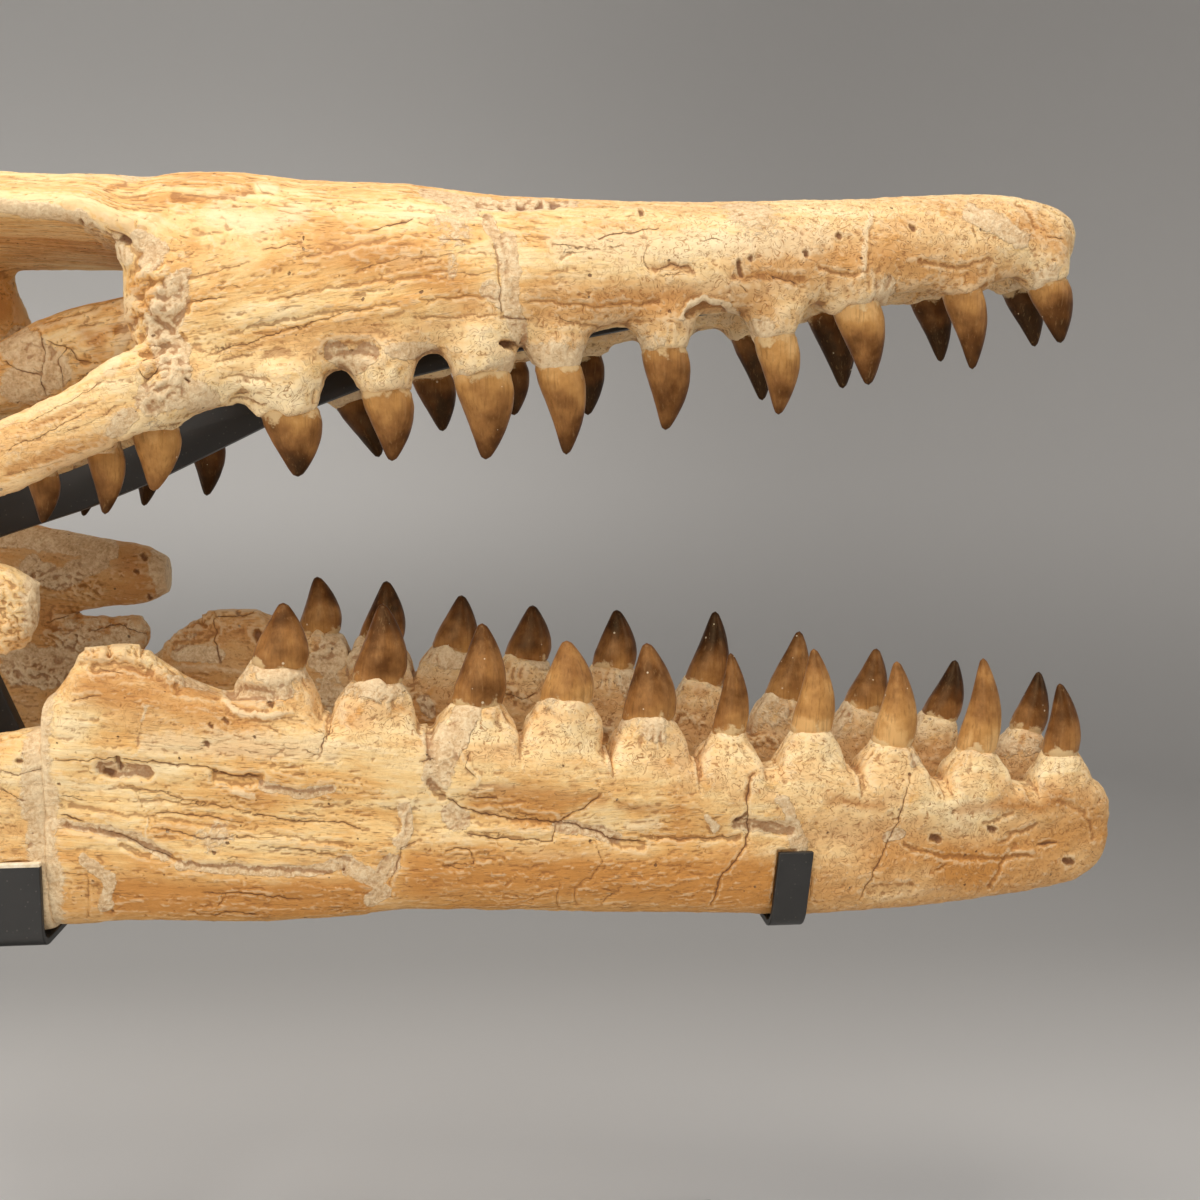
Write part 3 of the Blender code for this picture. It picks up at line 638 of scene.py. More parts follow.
def spread_out(values, edges, passes, share=0.5):
    """Evens out a value over a mesh: each point moves some of the way to its neighbours' mean."""
    values = values.copy()
    count = len(values)
    degree = np.maximum(np.bincount(edges.ravel(), minlength=count), 1)
    for _ in range(passes):
        for column in range(values.shape[1]):
            line = values[:, column]
            total = np.bincount(edges[:, 0], line[edges[:, 1]], count)
            total += np.bincount(edges[:, 1], line[edges[:, 0]], count)
            values[:, column] = line + share * (total / degree - line)
    return values


def applied(obj):
    """The object's mesh with its modifiers worked in, and the modifiers removed."""
    bpy.context.view_layer.update()
    seen = obj.evaluated_get(bpy.context.evaluated_depsgraph_get())
    mesh = bpy.data.meshes.new_from_object(seen)
    obj.modifiers.clear()
    obj.data = mesh
    return mesh


def smooth_copy(node):
    """A finely meshed copy of a bone's solid, with its facets rounded off."""
    bm = bmesh.new()
    bm.from_mesh(NODES[node].data)
    bmesh.ops.remove_doubles(bm, verts=bm.verts, dist=SAME_PLACE)
    obj = mesh_object(bm, node + "_surface")
    remesh = obj.modifiers.new("even squares", "REMESH")
    remesh.mode = "VOXEL"
    remesh.voxel_size = VOXEL
    mesh = applied(obj)
    solid = points_of(mesh)
    edges = edges_of(mesh)
    put_points(mesh, spread_out(solid, edges, SMOOTH_PASSES))
    normals = normals_of(mesh)
    lost = ((solid - points_of(mesh)) * normals).sum(axis=1, keepdims=True)
    put_points(mesh, points_of(mesh) + normals * spread_out(lost, edges, GIVE_BACK_PASSES))
    finer = obj.modifiers.new("finer squares", "SUBSURF")
    finer.levels = 1
    finer.render_levels = 1
    applied(obj)
    return obj


print("squares of", VOXEL / MM, "mm, halved once after smoothing")

# %% [markdown]
# The tooth crowns' own places matter to the bones, because each stands in a pedestal with a swollen, ribbed
# rim. So they are measured first, from their plain solids: the tip is the point furthest from the jaw, and
# the base is the ring furthest from the tip.

# %% Measure the crowns
BASE_RING = 8


def measure_crown(node):
    """The middle of a crown's base, its tip, and half its length along the jaw."""
    points = np.unique(points_of(NODES[node].data).round(5), axis=0)
    upper = node.startswith("upper")
    tip = points[points[:, 2].argmin() if upper else points[:, 2].argmax()]
    away = np.linalg.norm(points - tip, axis=1)
    ring = points[np.argsort(away)[-BASE_RING:]]
    base = ring.mean(axis=0)
    return base, tip, np.ptp(ring[:, 0]) / 2


CROWNS = {name: measure_crown(name) for name in sorted(NODES) if "_tooth_" in name}
longest = max(np.linalg.norm(tip - base) for base, tip, _ in CROWNS.values())
print("crowns:", len(CROWNS), "the longest", round(longest / MM, 1), "mm")

# %% [markdown]
# Marks on the bones are strokes, as a sculptor would make them: a line of points with a width, a depth and
# a kind. They could be sculpted by hand, but written down they are the same at each run. The points are
# pixels of the photograph, and a point of the bone is marked where it falls within the width of the line.
# The lines' edges are roughened with a small noise so that none looks drawn.

# %% Strokes
LATTICE = 64


def wobble(flat, size, seed):
    """Smooth noise between -1 and 1 over flat points, with features of the given size."""
    grid = np.random.default_rng(seed).uniform(-1, 1, (LATTICE, LATTICE))
    place = flat / size
    corner = np.floor(place).astype(int)
    part = place - corner
    part = part * part * (3 - 2 * part)
    left, low = (corner % LATTICE).T
    right, high = ((corner + 1) % LATTICE).T
    bottom = grid[left, low] * (1 - part[:, 0]) + grid[right, low] * part[:, 0]
    top = grid[left, high] * (1 - part[:, 0]) + grid[right, high] * part[:, 0]
    return bottom * (1 - part[:, 1]) + top * part[:, 1]


# %% [markdown]
# What each kind of stroke leaves behind is a mask by the same name, which the material and the relief read.
# A crack is dark, filler is grey-buff matrix, and a honey stroke only colours: it stains, and on the lower
# jaw's lower part it is painted shade as well. Grooves and hollows only shape the bone, a ridge is also made
# paler as a painted highlight, a hole is dark inside, and a broken place is crumpled.

# %% Strokes of the photograph
NEAR_SIDE = -0.008  # strokes stop short of the skull's middle, so that none lands on the far side
INNER_SIDE = -0.062
# Each row: kind, half-width in pixels, depth in millimetres (a rise if negative), and its points in pixels
CRANIUM_STROKES = (
    # wide honey-brown stains
    ("honey", 60, 0, (760, 270), (900, 262), (1000, 290)),
    ("honey", 45, 0, (540, 300), (640, 310), (760, 300)),
    ("pale", 30, 0, (560, 245), (700, 246), (820, 240)),
    ("honey", 30, 0, (1030, 225), (1060, 250)),
    ("honey", 34, 0, (330, 250), (420, 262), (470, 300)),
    # matrix under the roof's edge and around the corner of the eye opening
    ("filler", 11, -0.4, (0, 206), (40, 210), (80, 218)),
    ("filler", 10, -0.9, (78, 214), (104, 236), (130, 258)),
    ("filler", 7, 1.2, (115, 236), (128, 240)),
    ("hole", 4, 2.0, (122, 238), (128, 240)),
    ("hole", 3.5, 2.0, (82, 219), (83, 221)),
    ("hole", 4, 2.2, (87, 252), (90, 256)),
    ("rusty", 9, 1.0, (175, 196), (215, 197), (250, 190)),
    ("rusty", 5, 0.5, (105, 190), (125, 186)),
    ("pale", 9, -1.0, (258, 186), (276, 190)),
    ("crack", 1.4, 0.6, (256, 182), (262, 192), (276, 196)),
    ("pale", 22, -0.2, (215, 215), (270, 222), (300, 212)),
    ("filler", 16, -0.5, (140, 240), (158, 250), (150, 262)),
    # the knobbly corner where snout, cheek bar and prefrontal meet
    ("broken", 34, 2.0, (158, 284), (150, 320), (152, 345), (164, 384)),
    ("broken", 14, 1.5, (90, 222), (110, 236), (132, 262)),
    ("filler", 22, 0.2, (176, 290), (160, 320), (168, 350), (180, 385)),
    ("hollow", 7, 2.6, (150, 281), (162, 284)),
    ("ridge", 5, 1.2, (136, 276), (150, 272), (165, 276)),
    ("hollow", 8, 2.6, (118, 330), (132, 328), (140, 318)),
    ("hollow", 5, 1.8, (150, 312), (160, 322), (172, 330)),
    ("hollow", 7, 3.0, (145, 352), (158, 356), (162, 345)),
    ("crack", 3.5, 2.4, (142, 361), (160, 356)),
    ("crack", 2.2, 1.5, (140, 372), (146, 380), (160, 368)),
    ("ridge", 5, 1.3, (124, 342), (138, 322), (160, 304)),
    ("ridge", 4, 1.2, (150, 370), (170, 366), (186, 368)),
    ("ridge", 3, 0.9, (165, 340), (178, 330)),
    ("filler", 10, -0.5, (165, 290), (182, 278), (186, 272)),
    ("filler", 12, -0.4, (162, 350), (178, 345), (184, 352)),
    ("filler", 12, 0.6, (160, 335), (176, 320)),
    ("hollow", 6, 1.6, (176, 322), (188, 304)),
    ("hole", 4.2, 3.0, (184, 379), (187, 382)),
    ("groove", 5, 1.2, (136, 296), (142, 300), (158, 296)),
    ("pale", 12, -0.4, (130, 300), (122, 345), (110, 372)),
    # smooth matrix below the corner, over the tooth roots
    ("filler", 24, 0.2, (150, 400), (182, 392), (205, 404)),
    ("filler", 14, 0.3, (130, 415), (115, 430)),
    ("filler", 16, 0.6, (335, 352), (352, 366), (368, 352)),
    ("hollow", 12, 2.0, (330, 352), (350, 348), (372, 350)),
    ("filler", 12, -0.3, (392, 350), (430, 352)),
    ("ridge", 6, 1.5, (228, 398), (240, 386), (262, 388)),
    ("ridge", 5, 1.2, (222, 404), (240, 412), (258, 410)),
    ("groove", 3, 1.5, (232, 404), (250, 400), (264, 404)),
    ("groove", 3, 1.0, (222, 378), (244, 376), (270, 380)),
    ("crack", 1.6, 1.0, (240, 396), (252, 392)),
    # long cracks along the fibres
    ("crack", 1.6, 1.0, (190, 300), (225, 296)),
    ("crack", 1.7, 1.1, (196, 302), (212, 298), (222, 298)),
    ("crack", 1.7, 1.1, (205, 355), (250, 342), (300, 326), (345, 313), (370, 309)),
    ("crack", 1.4, 0.9, (215, 361), (235, 358), (256, 351)),
    ("crack", 1.5, 0.9, (214, 349), (232, 344)),
    ("crack", 1.4, 0.8, (235, 331), (275, 324), (300, 330), (312, 322)),
    ("crack", 1.4, 0.8, (186, 279), (222, 270), (250, 262)),
    ("crack", 1.5, 1.0, (222, 290), (232, 285), (240, 288)),
    ("crack", 1.5, 0.8, (296, 318), (292, 316)),
    ("groove", 4, 0.8, (250, 326), (330, 312), (400, 304)),
    ("groove", 4, 0.7, (270, 300), (350, 284), (430, 276)),
    ("groove", 5, 0.8, (300, 258), (360, 244), (400, 236)),
    ("crack", 1.5, 0.9, (358, 268), (380, 262), (404, 257)),
    ("crack", 2.2, 1.1, (372, 230), (392, 224), (412, 219)),
    ("crack", 1.6, 0.8, (262, 250), (300, 244)),
    ("crack", 1.5, 0.8, (440, 239), (470, 242)),
    ("crack", 1.4, 0.8, (412, 258), (440, 256), (470, 250)),
    ("crack", 1.4, 0.8, (445, 271), (476, 274), (498, 270)),
    ("groove", 3, 0.7, (420, 300), (470, 296), (498, 298)),
    ("groove", 3, 0.7, (415, 318), (460, 316), (500, 314)),
    ("crack", 1.6, 0.7, (330, 208), (336, 214)),
    # the seam of grey matrix that runs down the snout
    ("filler", 9, 0.5, (488, 222), (500, 246), (504, 268)),
    ("filler", 13, 0.4, (508, 240), (512, 270), (510, 300)),
    ("filler", 14, 0.6, (490, 290), (512, 308), (520, 335)),
    ("groove", 3, 1.2, (494, 246), (498, 264), (500, 280), (502, 318)),
    ("crack", 1.5, 1.0, (500, 276), (501, 302), (503, 318)),
    ("hole", 4.5, 4.0, (506, 346), (514, 348)),
    ("hollow", 6, 3.0, (505, 344), (516, 350)),
    ("crack", 1.6, 1.2, (503, 318), (528, 318)),
    # nostril floor: matrix with small holes
    ("filler", 9, 0.8, (425, 192), (470, 204), (520, 206), (575, 200)),
    ("filler", 10, -0.3, (455, 200), (470, 212)),
    ("hole", 4, 1.5, (500, 205), (503, 206)),
    ("hole", 3.6, 1.4, (518, 205), (524, 205)),
    ("hole", 3.6, 1.4, (538, 204), (542, 202)),
    ("hole", 3.6, 1.3, (553, 203), (558, 204)),
    ("hollow", 6, 1.4, (480, 204), (520, 206), (565, 202)),
    # front half: grooves, holes and pitted hollows
    ("crack", 2.4, 1.2, (600, 238), (618, 234), (640, 231)),
    ("crack", 2.0, 1.0, (640, 231), (658, 228)),
    ("crack", 1.7, 0.9, (552, 244), (578, 246), (600, 248)),
    ("crack", 1.5, 0.8, (560, 252), (590, 252)),
    ("crack", 1.5, 0.7, (606, 248), (622, 246)),
    ("crack", 1.5, 0.7, (600, 206), (618, 205)),
    ("hole", 3.2, 1.0, (640, 211), (641, 212)),
    ("crack", 1.6, 0.8, (700, 240), (722, 239)),
    ("rusty", 8, 1.0, (654, 268), (672, 266), (690, 270)),
    ("crack", 1.6, 1.0, (655, 270), (672, 264), (692, 268)),
    ("crack", 1.6, 1.0, (660, 276), (684, 274)),
    ("rusty", 9, 0.9, (735, 278), (765, 276), (800, 280)),
    ("hole", 3, 1.0, (738, 262), (742, 276)),
    ("hole", 3.2, 1.0, (750, 258), (751, 260)),
    ("crack", 2.0, 1.0, (771, 276), (784, 280), (796, 284)),
    ("crack", 1.8, 0.9, (741, 286), (746, 292)),
    ("rusty", 14, 0.4, (600, 300), (660, 296), (690, 292)),
    ("groove", 4, 0.9, (530, 300), (600, 306), (660, 302)),
    ("groove", 4, 0.8, (560, 322), (600, 328), (650, 322)),
    ("crack", 1.6, 0.9, (560, 318), (572, 322)),
    ("crack", 1.5, 0.8, (648, 244), (644, 258), (650, 274)),
    # the empty tooth place, a pale arc over a dark gap
    ("filler", 6, -1.2, (682, 318), (690, 305), (704, 299), (722, 303), (738, 316)),
    ("hollow", 7, 3.0, (690, 314), (704, 308), (722, 312)),
    # front end
    ("pale", 5, -0.5, (872, 212), (866, 240), (862, 276)),
    ("crack", 1.3, 0.6, (876, 215), (869, 240)),
    ("filler", 15, -0.3, (972, 214), (1000, 226), (1020, 240)),
    ("crack", 1.4, 0.7, (972, 224), (977, 246)),
    ("groove", 4, 1.0, (1016, 202), (1030, 212), (1036, 226)),
    ("groove", 3, 0.8, (1045, 206), (1060, 214), (1072, 216)),
    ("hollow", 5, 1.2, (1066, 222), (1076, 232)),
    ("crack", 1.8, 1.0, (1048, 236), (1062, 240)),
    ("hole", 3, 1.0, (912, 226), (914, 228)),
    ("hole", 3, 1.0, (838, 236), (840, 237)),
    ("hole", 3, 1.0, (806, 252), (808, 254)),
    ("groove", 4, 0.8, (820, 268), (850, 276), (868, 270)),
    ("groove", 4, 0.8, (920, 262), (960, 268), (990, 258)),
    # cheek bar
    ("crack", 1.6, 0.8, (0, 452), (40, 436), (90, 410)),
    ("crack", 1.5, 0.8, (20, 426), (70, 402), (110, 376)),
    ("crack", 1.4, 0.7, (55, 436), (95, 420), (125, 402)),
    ("rusty", 10, 0.3, (10, 470), (55, 456), (105, 440)),
    ("rusty", 6, 0.3, (30, 428), (80, 405)),
    ("crack", 1.4, 0.7, (0, 476), (40, 468), (70, 460)),
    ("groove", 3, 0.6, (60, 420), (100, 398)),
)
DENTARY_STROKES = (
    # wide honey-brown patches: stain, and along the jaw's lower part painted shade as well
    ("honey", 46, 0, (890, 850), (980, 860), (1090, 820)),
    ("honey", 44, 0, (430, 870), (560, 868), (700, 878), (780, 880)),
    ("pale", 26, 0, (150, 745), (240, 745), (330, 750)),
    ("honey", 26, 0, (480, 800), (560, 812)),
    ("honey", 30, 0, (90, 690), (160, 700), (240, 720)),
    ("honey", 30, 0, (1010, 800), (1080, 805)),
    ("honey", 26, 0, (120, 895), (260, 900), (360, 895)),
    # the broken rear peak
    ("broken", 13, 2.2, (76, 656), (100, 650), (130, 650), (160, 664), (176, 680)),
    ("hollow", 8, 2.0, (95, 668), (125, 664), (150, 670)),
    ("rusty", 12, 0.6, (100, 676), (140, 672), (172, 684), (215, 690)),
    ("crack", 1.8, 1.2, (100, 668), (124, 674)),
    ("crack", 1.6, 1.0, (72, 700), (100, 696)),
    ("ridge", 4, 1.2, (88, 652), (118, 646), (140, 652)),
    ("ridge", 3, 1.0, (150, 660), (166, 672), (172, 680)),
    ("hollow", 5, 3.5, (106, 642), (110, 654)),
    ("hollow", 4, 3.0, (140, 644), (143, 656)),
    ("ridge", 5, 3.5, (122, 644), (126, 652)),
    ("ridge", 4, 3.0, (84, 648), (90, 654)),
    ("hollow", 10, 1.2, (180, 688), (215, 692)),
    # the socket hollow below the second last crown, with its pale lower rim
    ("filler", 13, 1.6, (232, 690), (262, 694), (285, 692)),
    ("hollow", 12, 2.4, (236, 690), (270, 698)),
    ("ridge", 5, 1.6, (224, 700), (238, 712), (262, 716), (290, 712)),
    ("pale", 6, -0.4, (228, 704), (245, 714), (280, 716)),
    ("filler", 5, 0.2, (172, 678), (205, 684), (228, 682)),
    ("hole", 3.2, 1.2, (268, 704), (272, 706)),
    ("hole", 3.2, 1.2, (224, 720), (227, 722)),
    ("hole", 3.4, 1.2, (205, 743), (207, 744)),
    ("hole", 3.2, 1.2, (210, 726), (212, 727)),
    ("crack", 1.5, 0.9, (304, 750), (318, 754)),
    ("crack", 1.4, 0.8, (270, 728), (286, 736)),
    ("pale", 3, -0.5, (147, 706), (142, 720)),
    ("crack", 1.3, 0.7, (148, 705), (142, 722), (138, 745)),
    ("pale", 3, -0.4, (130, 758), (142, 748)),
    # the long crack and its two hollows
    ("crack", 1.8, 1.6, (55, 760), (110, 759), (150, 762), (205, 768), (222, 774)),
    ("filler", 9, 1.2, (100, 768), (122, 772), (148, 772)),
    ("hollow", 9, 2.4, (102, 768), (148, 774)),
    ("hole", 4, 1.6, (106, 773), (112, 774)),
    ("hole", 3.4, 1.8, (116, 760), (120, 768)),
    ("crack", 4, 2.2, (214, 774), (236, 776), (258, 778)),
    ("hollow", 9, 2.6, (216, 776), (240, 782), (258, 780)),
    ("pale", 5, -0.8, (235, 792), (252, 796)),
    ("filler", 8, 0.6, (262, 786), (300, 794), (330, 790)),
    ("groove", 5, 1.0, (262, 786), (300, 792), (330, 790)),
    ("crack", 1.8, 1.0, (62, 795), (80, 800)),
    ("crack", 2.6, 1.8, (64, 816), (82, 820)),
    ("crack", 1.5, 1.0, (110, 788), (150, 790), (210, 804), (262, 812)),
    ("crack", 1.5, 1.0, (165, 800), (210, 806)),
    ("crack", 1.7, 1.2, (150, 812), (205, 816), (245, 824)),
    ("crack", 1.6, 1.1, (150, 826), (205, 838), (250, 838)),
    ("crack", 1.8, 1.2, (240, 812), (290, 820), (335, 822), (368, 830)),
    ("crack", 1.4, 0.9, (290, 812), (325, 816)),
    ("crack", 1.5, 1.0, (225, 834), (262, 838), (286, 836)),
    ("crack", 1.5, 1.0, (260, 846), (305, 850), (350, 860)),
    ("crack", 1.4, 0.8, (128, 800), (170, 800)),
    ("crack", 1.3, 0.8, (126, 778), (140, 800), (148, 820), (142, 842)),
    ("pale", 2.5, -0.4, (148, 812), (144, 840)),
    ("groove", 5, 0.8, (70, 806), (150, 818), (250, 830), (350, 846)),
    # cracks around the third crown's pedestal
    ("crack", 1.8, 1.2, (340, 700), (330, 716), (325, 735), (320, 756)),
    ("crack", 1.5, 1.0, (316, 730), (330, 722), (338, 716)),
    ("crack", 1.6, 1.0, (322, 730), (316, 726)),
    # matrix that crosses the jaw below the clip's level
    ("filler", 8, 0.8, (62, 824), (100, 830), (135, 838), (165, 856)),
    ("groove", 5, 1.4, (66, 826), (110, 834), (148, 846), (180, 860)),
    ("crack", 1.6, 1.2, (98, 828), (120, 836), (150, 850), (180, 861)),
    ("filler", 10, -0.3, (85, 860), (110, 880), (105, 905)),
    ("hollow", 5, 1.4, (120, 846), (150, 856)),
    ("filler", 8, 0.4, (180, 866), (240, 870), (310, 872), (350, 862)),
    ("groove", 4, 0.9, (185, 864), (250, 868), (330, 872)),
    ("crack", 2.2, 1.3, (205, 894), (250, 893), (300, 900)),
    ("crack", 1.8, 1.1, (190, 912), (225, 914), (262, 912)),
    ("crack", 1.6, 1.0, (218, 906), (224, 898)),
    ("crack", 1.4, 0.8, (60, 872), (84, 874)),
    ("crack", 1.3, 0.7, (87, 870), (87, 915)),
    ("rusty", 5, 0.6, (105, 910), (112, 914)),
    ("filler", 13, 0.8, (350, 868), (376, 880), (392, 862)),
    ("filler", 10, 0.4, (370, 900), (384, 892)),
    ("crack", 1.5, 1.0, (388, 884), (396, 868), (402, 846), (420, 840)),
    ("filler", 10, -0.5, (404, 808), (408, 828), (400, 842)),
    ("ridge", 4, 1.2, (414, 800), (404, 816), (400, 834)),
    ("filler", 22, 0.5, (436, 730), (444, 752), (438, 776)),
    ("filler", 16, -0.3, (462, 720), (458, 740)),
    ("hollow", 7, 2.4, (430, 784), (442, 796)),
    ("ridge", 5, 1.6, (458, 752), (474, 772), (478, 780)),
    ("crack", 1.6, 1.2, (470, 752), (466, 766), (476, 778)),
    ("crack", 1.8, 1.0, (420, 762), (434, 758)),
    # the raised plate and its ledge
    ("crack", 2.0, 1.8, (442, 796), (462, 808), (500, 818), (556, 822), (584, 808), (600, 795)),
    ("ridge", 6, 1.4, (470, 810), (520, 808), (556, 814)),
    ("ridge", 8, 1.6, (478, 828), (520, 830), (552, 830)),
    ("crack", 2.0, 1.6, (468, 834), (500, 838), (552, 841), (556, 826)),
    ("crack", 2.6, 1.8, (476, 797), (496, 799)),
    ("ridge", 4, 1.0, (474, 792), (494, 790)),
    ("crack", 1.4, 0.8, (500, 804), (508, 812), (534, 816)),
    ("filler", 12, 0.4, (462, 820), (450, 812)),
    ("crack", 1.6, 1.0, (440, 850), (468, 848), (474, 862), (444, 866)),
    ("crack", 1.6, 1.0, (444, 866), (462, 868)),
    ("crack", 1.4, 0.8, (474, 858), (496, 858)),
    ("filler", 10, 1.0, (560, 826), (600, 832), (616, 838)),
    ("crack", 2.4, 1.6, (560, 822), (590, 830), (612, 838), (640, 842)),
    ("hollow", 8, 2.2, (616, 842), (640, 846)),
    ("groove", 4, 1.2, (640, 838), (690, 838), (740, 838)),
    ("crack", 1.5, 1.0, (650, 840), (700, 838), (742, 836)),
    ("pale", 12, -0.3, (630, 826), (655, 824)),
    ("rusty", 14, 0.2, (500, 790), (560, 796), (600, 800)),
    ("rusty", 9, 0.2, (620, 806), (680, 812)),
    ("crack", 1.4, 0.8, (560, 884), (556, 900), (560, 912)),
    ("crack", 1.4, 0.8, (574, 888), (578, 906)),
    ("crack", 1.4, 0.8, (596, 842), (602, 860), (590, 878), (572, 888)),
    ("crack", 1.5, 0.9, (600, 902), (618, 892)),
    ("crack", 1.4, 0.8, (600, 888), (612, 892), (622, 886)),
    ("crack", 1.3, 0.7, (500, 866), (530, 868), (545, 864)),
    ("crack", 1.3, 0.7, (620, 862), (660, 864), (700, 868)),
    ("crack", 1.3, 0.7, (505, 905), (560, 908)),
    # the seam to the front piece
    ("crack", 2.2, 1.6, (752, 774), (747, 800), (749, 826), (746, 844), (736, 862), (722, 874), (712, 904)),
    ("rusty", 5, 0.6, (752, 774), (746, 800)),
    ("filler", 9, 1.2, (738, 824), (760, 826), (790, 828)),
    ("hollow", 7, 2.0, (738, 824), (765, 826), (790, 832)),
    ("hole", 3.4, 1.4, (738, 822), (746, 816)),
    ("filler", 6, -1.0, (708, 818), (716, 828)),
    ("filler", 12, -0.4, (792, 824), (800, 848)),
    ("filler", 9, -0.5, (782, 800), (790, 814)),
    # front piece
    ("crack", 1.8, 1.2, (910, 776), (904, 800), (897, 824), (886, 848), (872, 876), (860, 900)),
    ("filler", 8, 0.5, (888, 836), (900, 834)),
    ("hole", 4.4, 2.2, (934, 838), (938, 839)),
    ("crack", 3.6, 2.4, (1040, 845), (1056, 842)),
    ("hole", 4, 2.0, (1066, 862), (1072, 862)),
    ("hole", 4, 1.6, (991, 828), (994, 829)),
    ("groove", 4, 1.2, (905, 845), (925, 852), (955, 858), (1000, 858), (1030, 855)),
    ("groove", 3.5, 1.1, (1015, 845), (1002, 866), (990, 888)),
    ("groove", 4, 1.1, (985, 825), (1000, 818), (1014, 814)),
    ("groove", 3.5, 1.2, (1000, 842), (1020, 832), (1038, 825)),
    ("crack", 1.5, 0.8, (1002, 836), (1016, 832)),
    ("ridge", 6, 1.0, (1010, 852), (1030, 850)),
    ("hollow", 8, 1.2, (872, 890), (910, 888)),
    ("rusty", 12, 0.3, (830, 800), (880, 806)),
    ("rusty", 12, 0.3, (960, 810), (1060, 800)),
    ("groove", 4, 0.8, (1060, 800), (1085, 812), (1095, 840)),
    ("crack", 1.4, 0.8, (800, 862), (812, 880), (808, 900)),
)
REAR_JAW_STROKES = (
    ("filler", 9, 0.9, (52, 742), (56, 790), (58, 850)),
    ("filler", 10, 0.0, (20, 670), (60, 664)),
    ("crack", 1.6, 0.9, (0, 770), (20, 776), (40, 768)),
    ("crack", 1.6, 0.9, (0, 790), (24, 800)),
    ("hole", 3.6, 1.4, (18, 760), (21, 762)),
    ("broken", 24, 2.0, (6, 590), (14, 620), (10, 645)),
    ("hollow", 8, 1.4, (6, 600), (16, 630)),
    ("ridge", 4, 1.2, (12, 580), (26, 600), (30, 640)),
    ("groove", 3, 0.9, (0, 740), (20, 734), (42, 722)),
)
INNER_STROKES = (
    # the palate seen through the eye opening: plates of broken bone in matrix
    ("filler", 30, 0.3, (20, 345), (50, 372), (20, 385)),
    ("hollow", 12, 1.6, (28, 350), (48, 352)),
    ("hollow", 8, 1.4, (70, 352), (84, 360)),
    ("ridge", 6, 1.6, (40, 328), (80, 318), (128, 300)),
    ("ridge", 6, 1.4, (44, 338), (46, 360), (40, 384)),
    ("ridge", 5, 1.2, (60, 350), (72, 374), (80, 392)),
    ("crack", 1.8, 1.2, (38, 330), (44, 352), (40, 376), (46, 396)),
    ("crack", 1.8, 1.2, (44, 340), (66, 346), (76, 360), (96, 362)),
    ("crack", 1.6, 1.0, (66, 346), (58, 364), (64, 386)),
    ("crack", 1.6, 1.0, (0, 360), (24, 372), (40, 376)),
    ("rusty", 14, 0.4, (86, 330), (100, 345)),
    ("rusty", 12, 0.2, (10, 395), (40, 400)),
    ("groove", 4, 1.0, (60, 320), (100, 305), (128, 296)),
)
FAR_DENTARY_STROKES = (
    ("broken", 12, 2.4, (166, 640), (190, 622), (220, 610), (260, 608)),
    ("hollow", 9, 2.0, (176, 646), (200, 636), (214, 628)),
    ("plate", 16, 2.0, (222, 622), (250, 616), (262, 640)),
    ("hollow", 5, 4.0, (198, 612), (202, 624)),
    ("hollow", 4, 3.0, (236, 602), (238, 614)),
    ("ridge", 5, 3.5, (216, 606), (222, 616)),
    ("crack", 2.2, 1.6, (216, 616), (214, 640), (220, 662)),
    ("crack", 2.0, 1.4, (216, 618), (240, 618), (262, 612)),
    ("hole", 7, 3.0, (258, 634), (262, 640)),
    ("filler", 12, 0.3, (180, 654), (215, 656)),
    ("pale", 6, -0.8, (162, 668), (205, 668), (245, 672)),
    ("broken", 8, 1.6, (300, 652), (340, 650), (390, 664)),
    ("filler", 10, 0.4, (316, 660), (330, 670)),
    ("broken", 9, 1.6, (410, 690), (430, 705)),
    ("filler", 10, 0.8, (424, 700), (430, 712)),
    ("broken", 9, 1.4, (505, 690), (525, 700)),
    ("crack", 1.8, 1.2, (500, 690), (520, 700), (535, 694)),
    ("broken", 9, 1.4, (590, 720), (610, 730)),
    ("hollow", 7, 2.0, (596, 732), (604, 738)),
    ("broken", 9, 1.4, (676, 712), (700, 724)),
    ("broken", 9, 1.2, (745, 735), (775, 742)),
)
FAR_REAR_JAW_STROKES = (
    ("filler", 16, -0.6, (0, 536), (60, 542), (110, 550)),
    ("pale", 10, -0.4, (30, 535), (80, 542)),
    ("filler", 16, 0.4, (30, 566), (60, 580), (100, 560)),
    ("broken", 22, 1.6, (40, 575), (90, 590)),
    ("ridge", 16, 9.0, (66, 617), (110, 616), (148, 620)),
    ("rusty", 26, 0.4, (130, 565), (150, 585), (120, 600)),
    ("hole", 3.4, 1.2, (144, 556), (146, 557)),
    ("hole", 3.2, 1.2, (135, 571), (137, 572)),
    ("hole", 3, 1.0, (150, 597), (151, 598)),
    ("hollow", 9, 2.0, (80, 616), (96, 616)),
    ("crack", 2.6, 1.8, (50, 622), (80, 616), (110, 618)),
    ("broken", 14, 1.8, (50, 636), (80, 640)),
    ("groove", 4, 1.2, (60, 640), (72, 650), (78, 636)),
    ("filler", 30, 0.2, (20, 665), (55, 668)),
    ("broken", 20, 1.8, (20, 672), (60, 676)),
    ("crack", 1.8, 1.2, (90, 630), (120, 626), (145, 634)),
    ("rusty", 16, 0.3, (100, 630), (135, 636)),
)
STROKES = {
    "cranium": ((-1, NEAR_SIDE, CRANIUM_STROKES), (INNER_SIDE, 1, INNER_STROKES)),
    "dentary_right": ((-1, NEAR_SIDE, DENTARY_STROKES),),
    "dentary_left": ((-1, 1, FAR_DENTARY_STROKES),),
    "rear_jaw_right": ((-1, NEAR_SIDE, REAR_JAW_STROKES),),
    "rear_jaw_left": ((-1, 1, FAR_REAR_JAW_STROKES),),
}
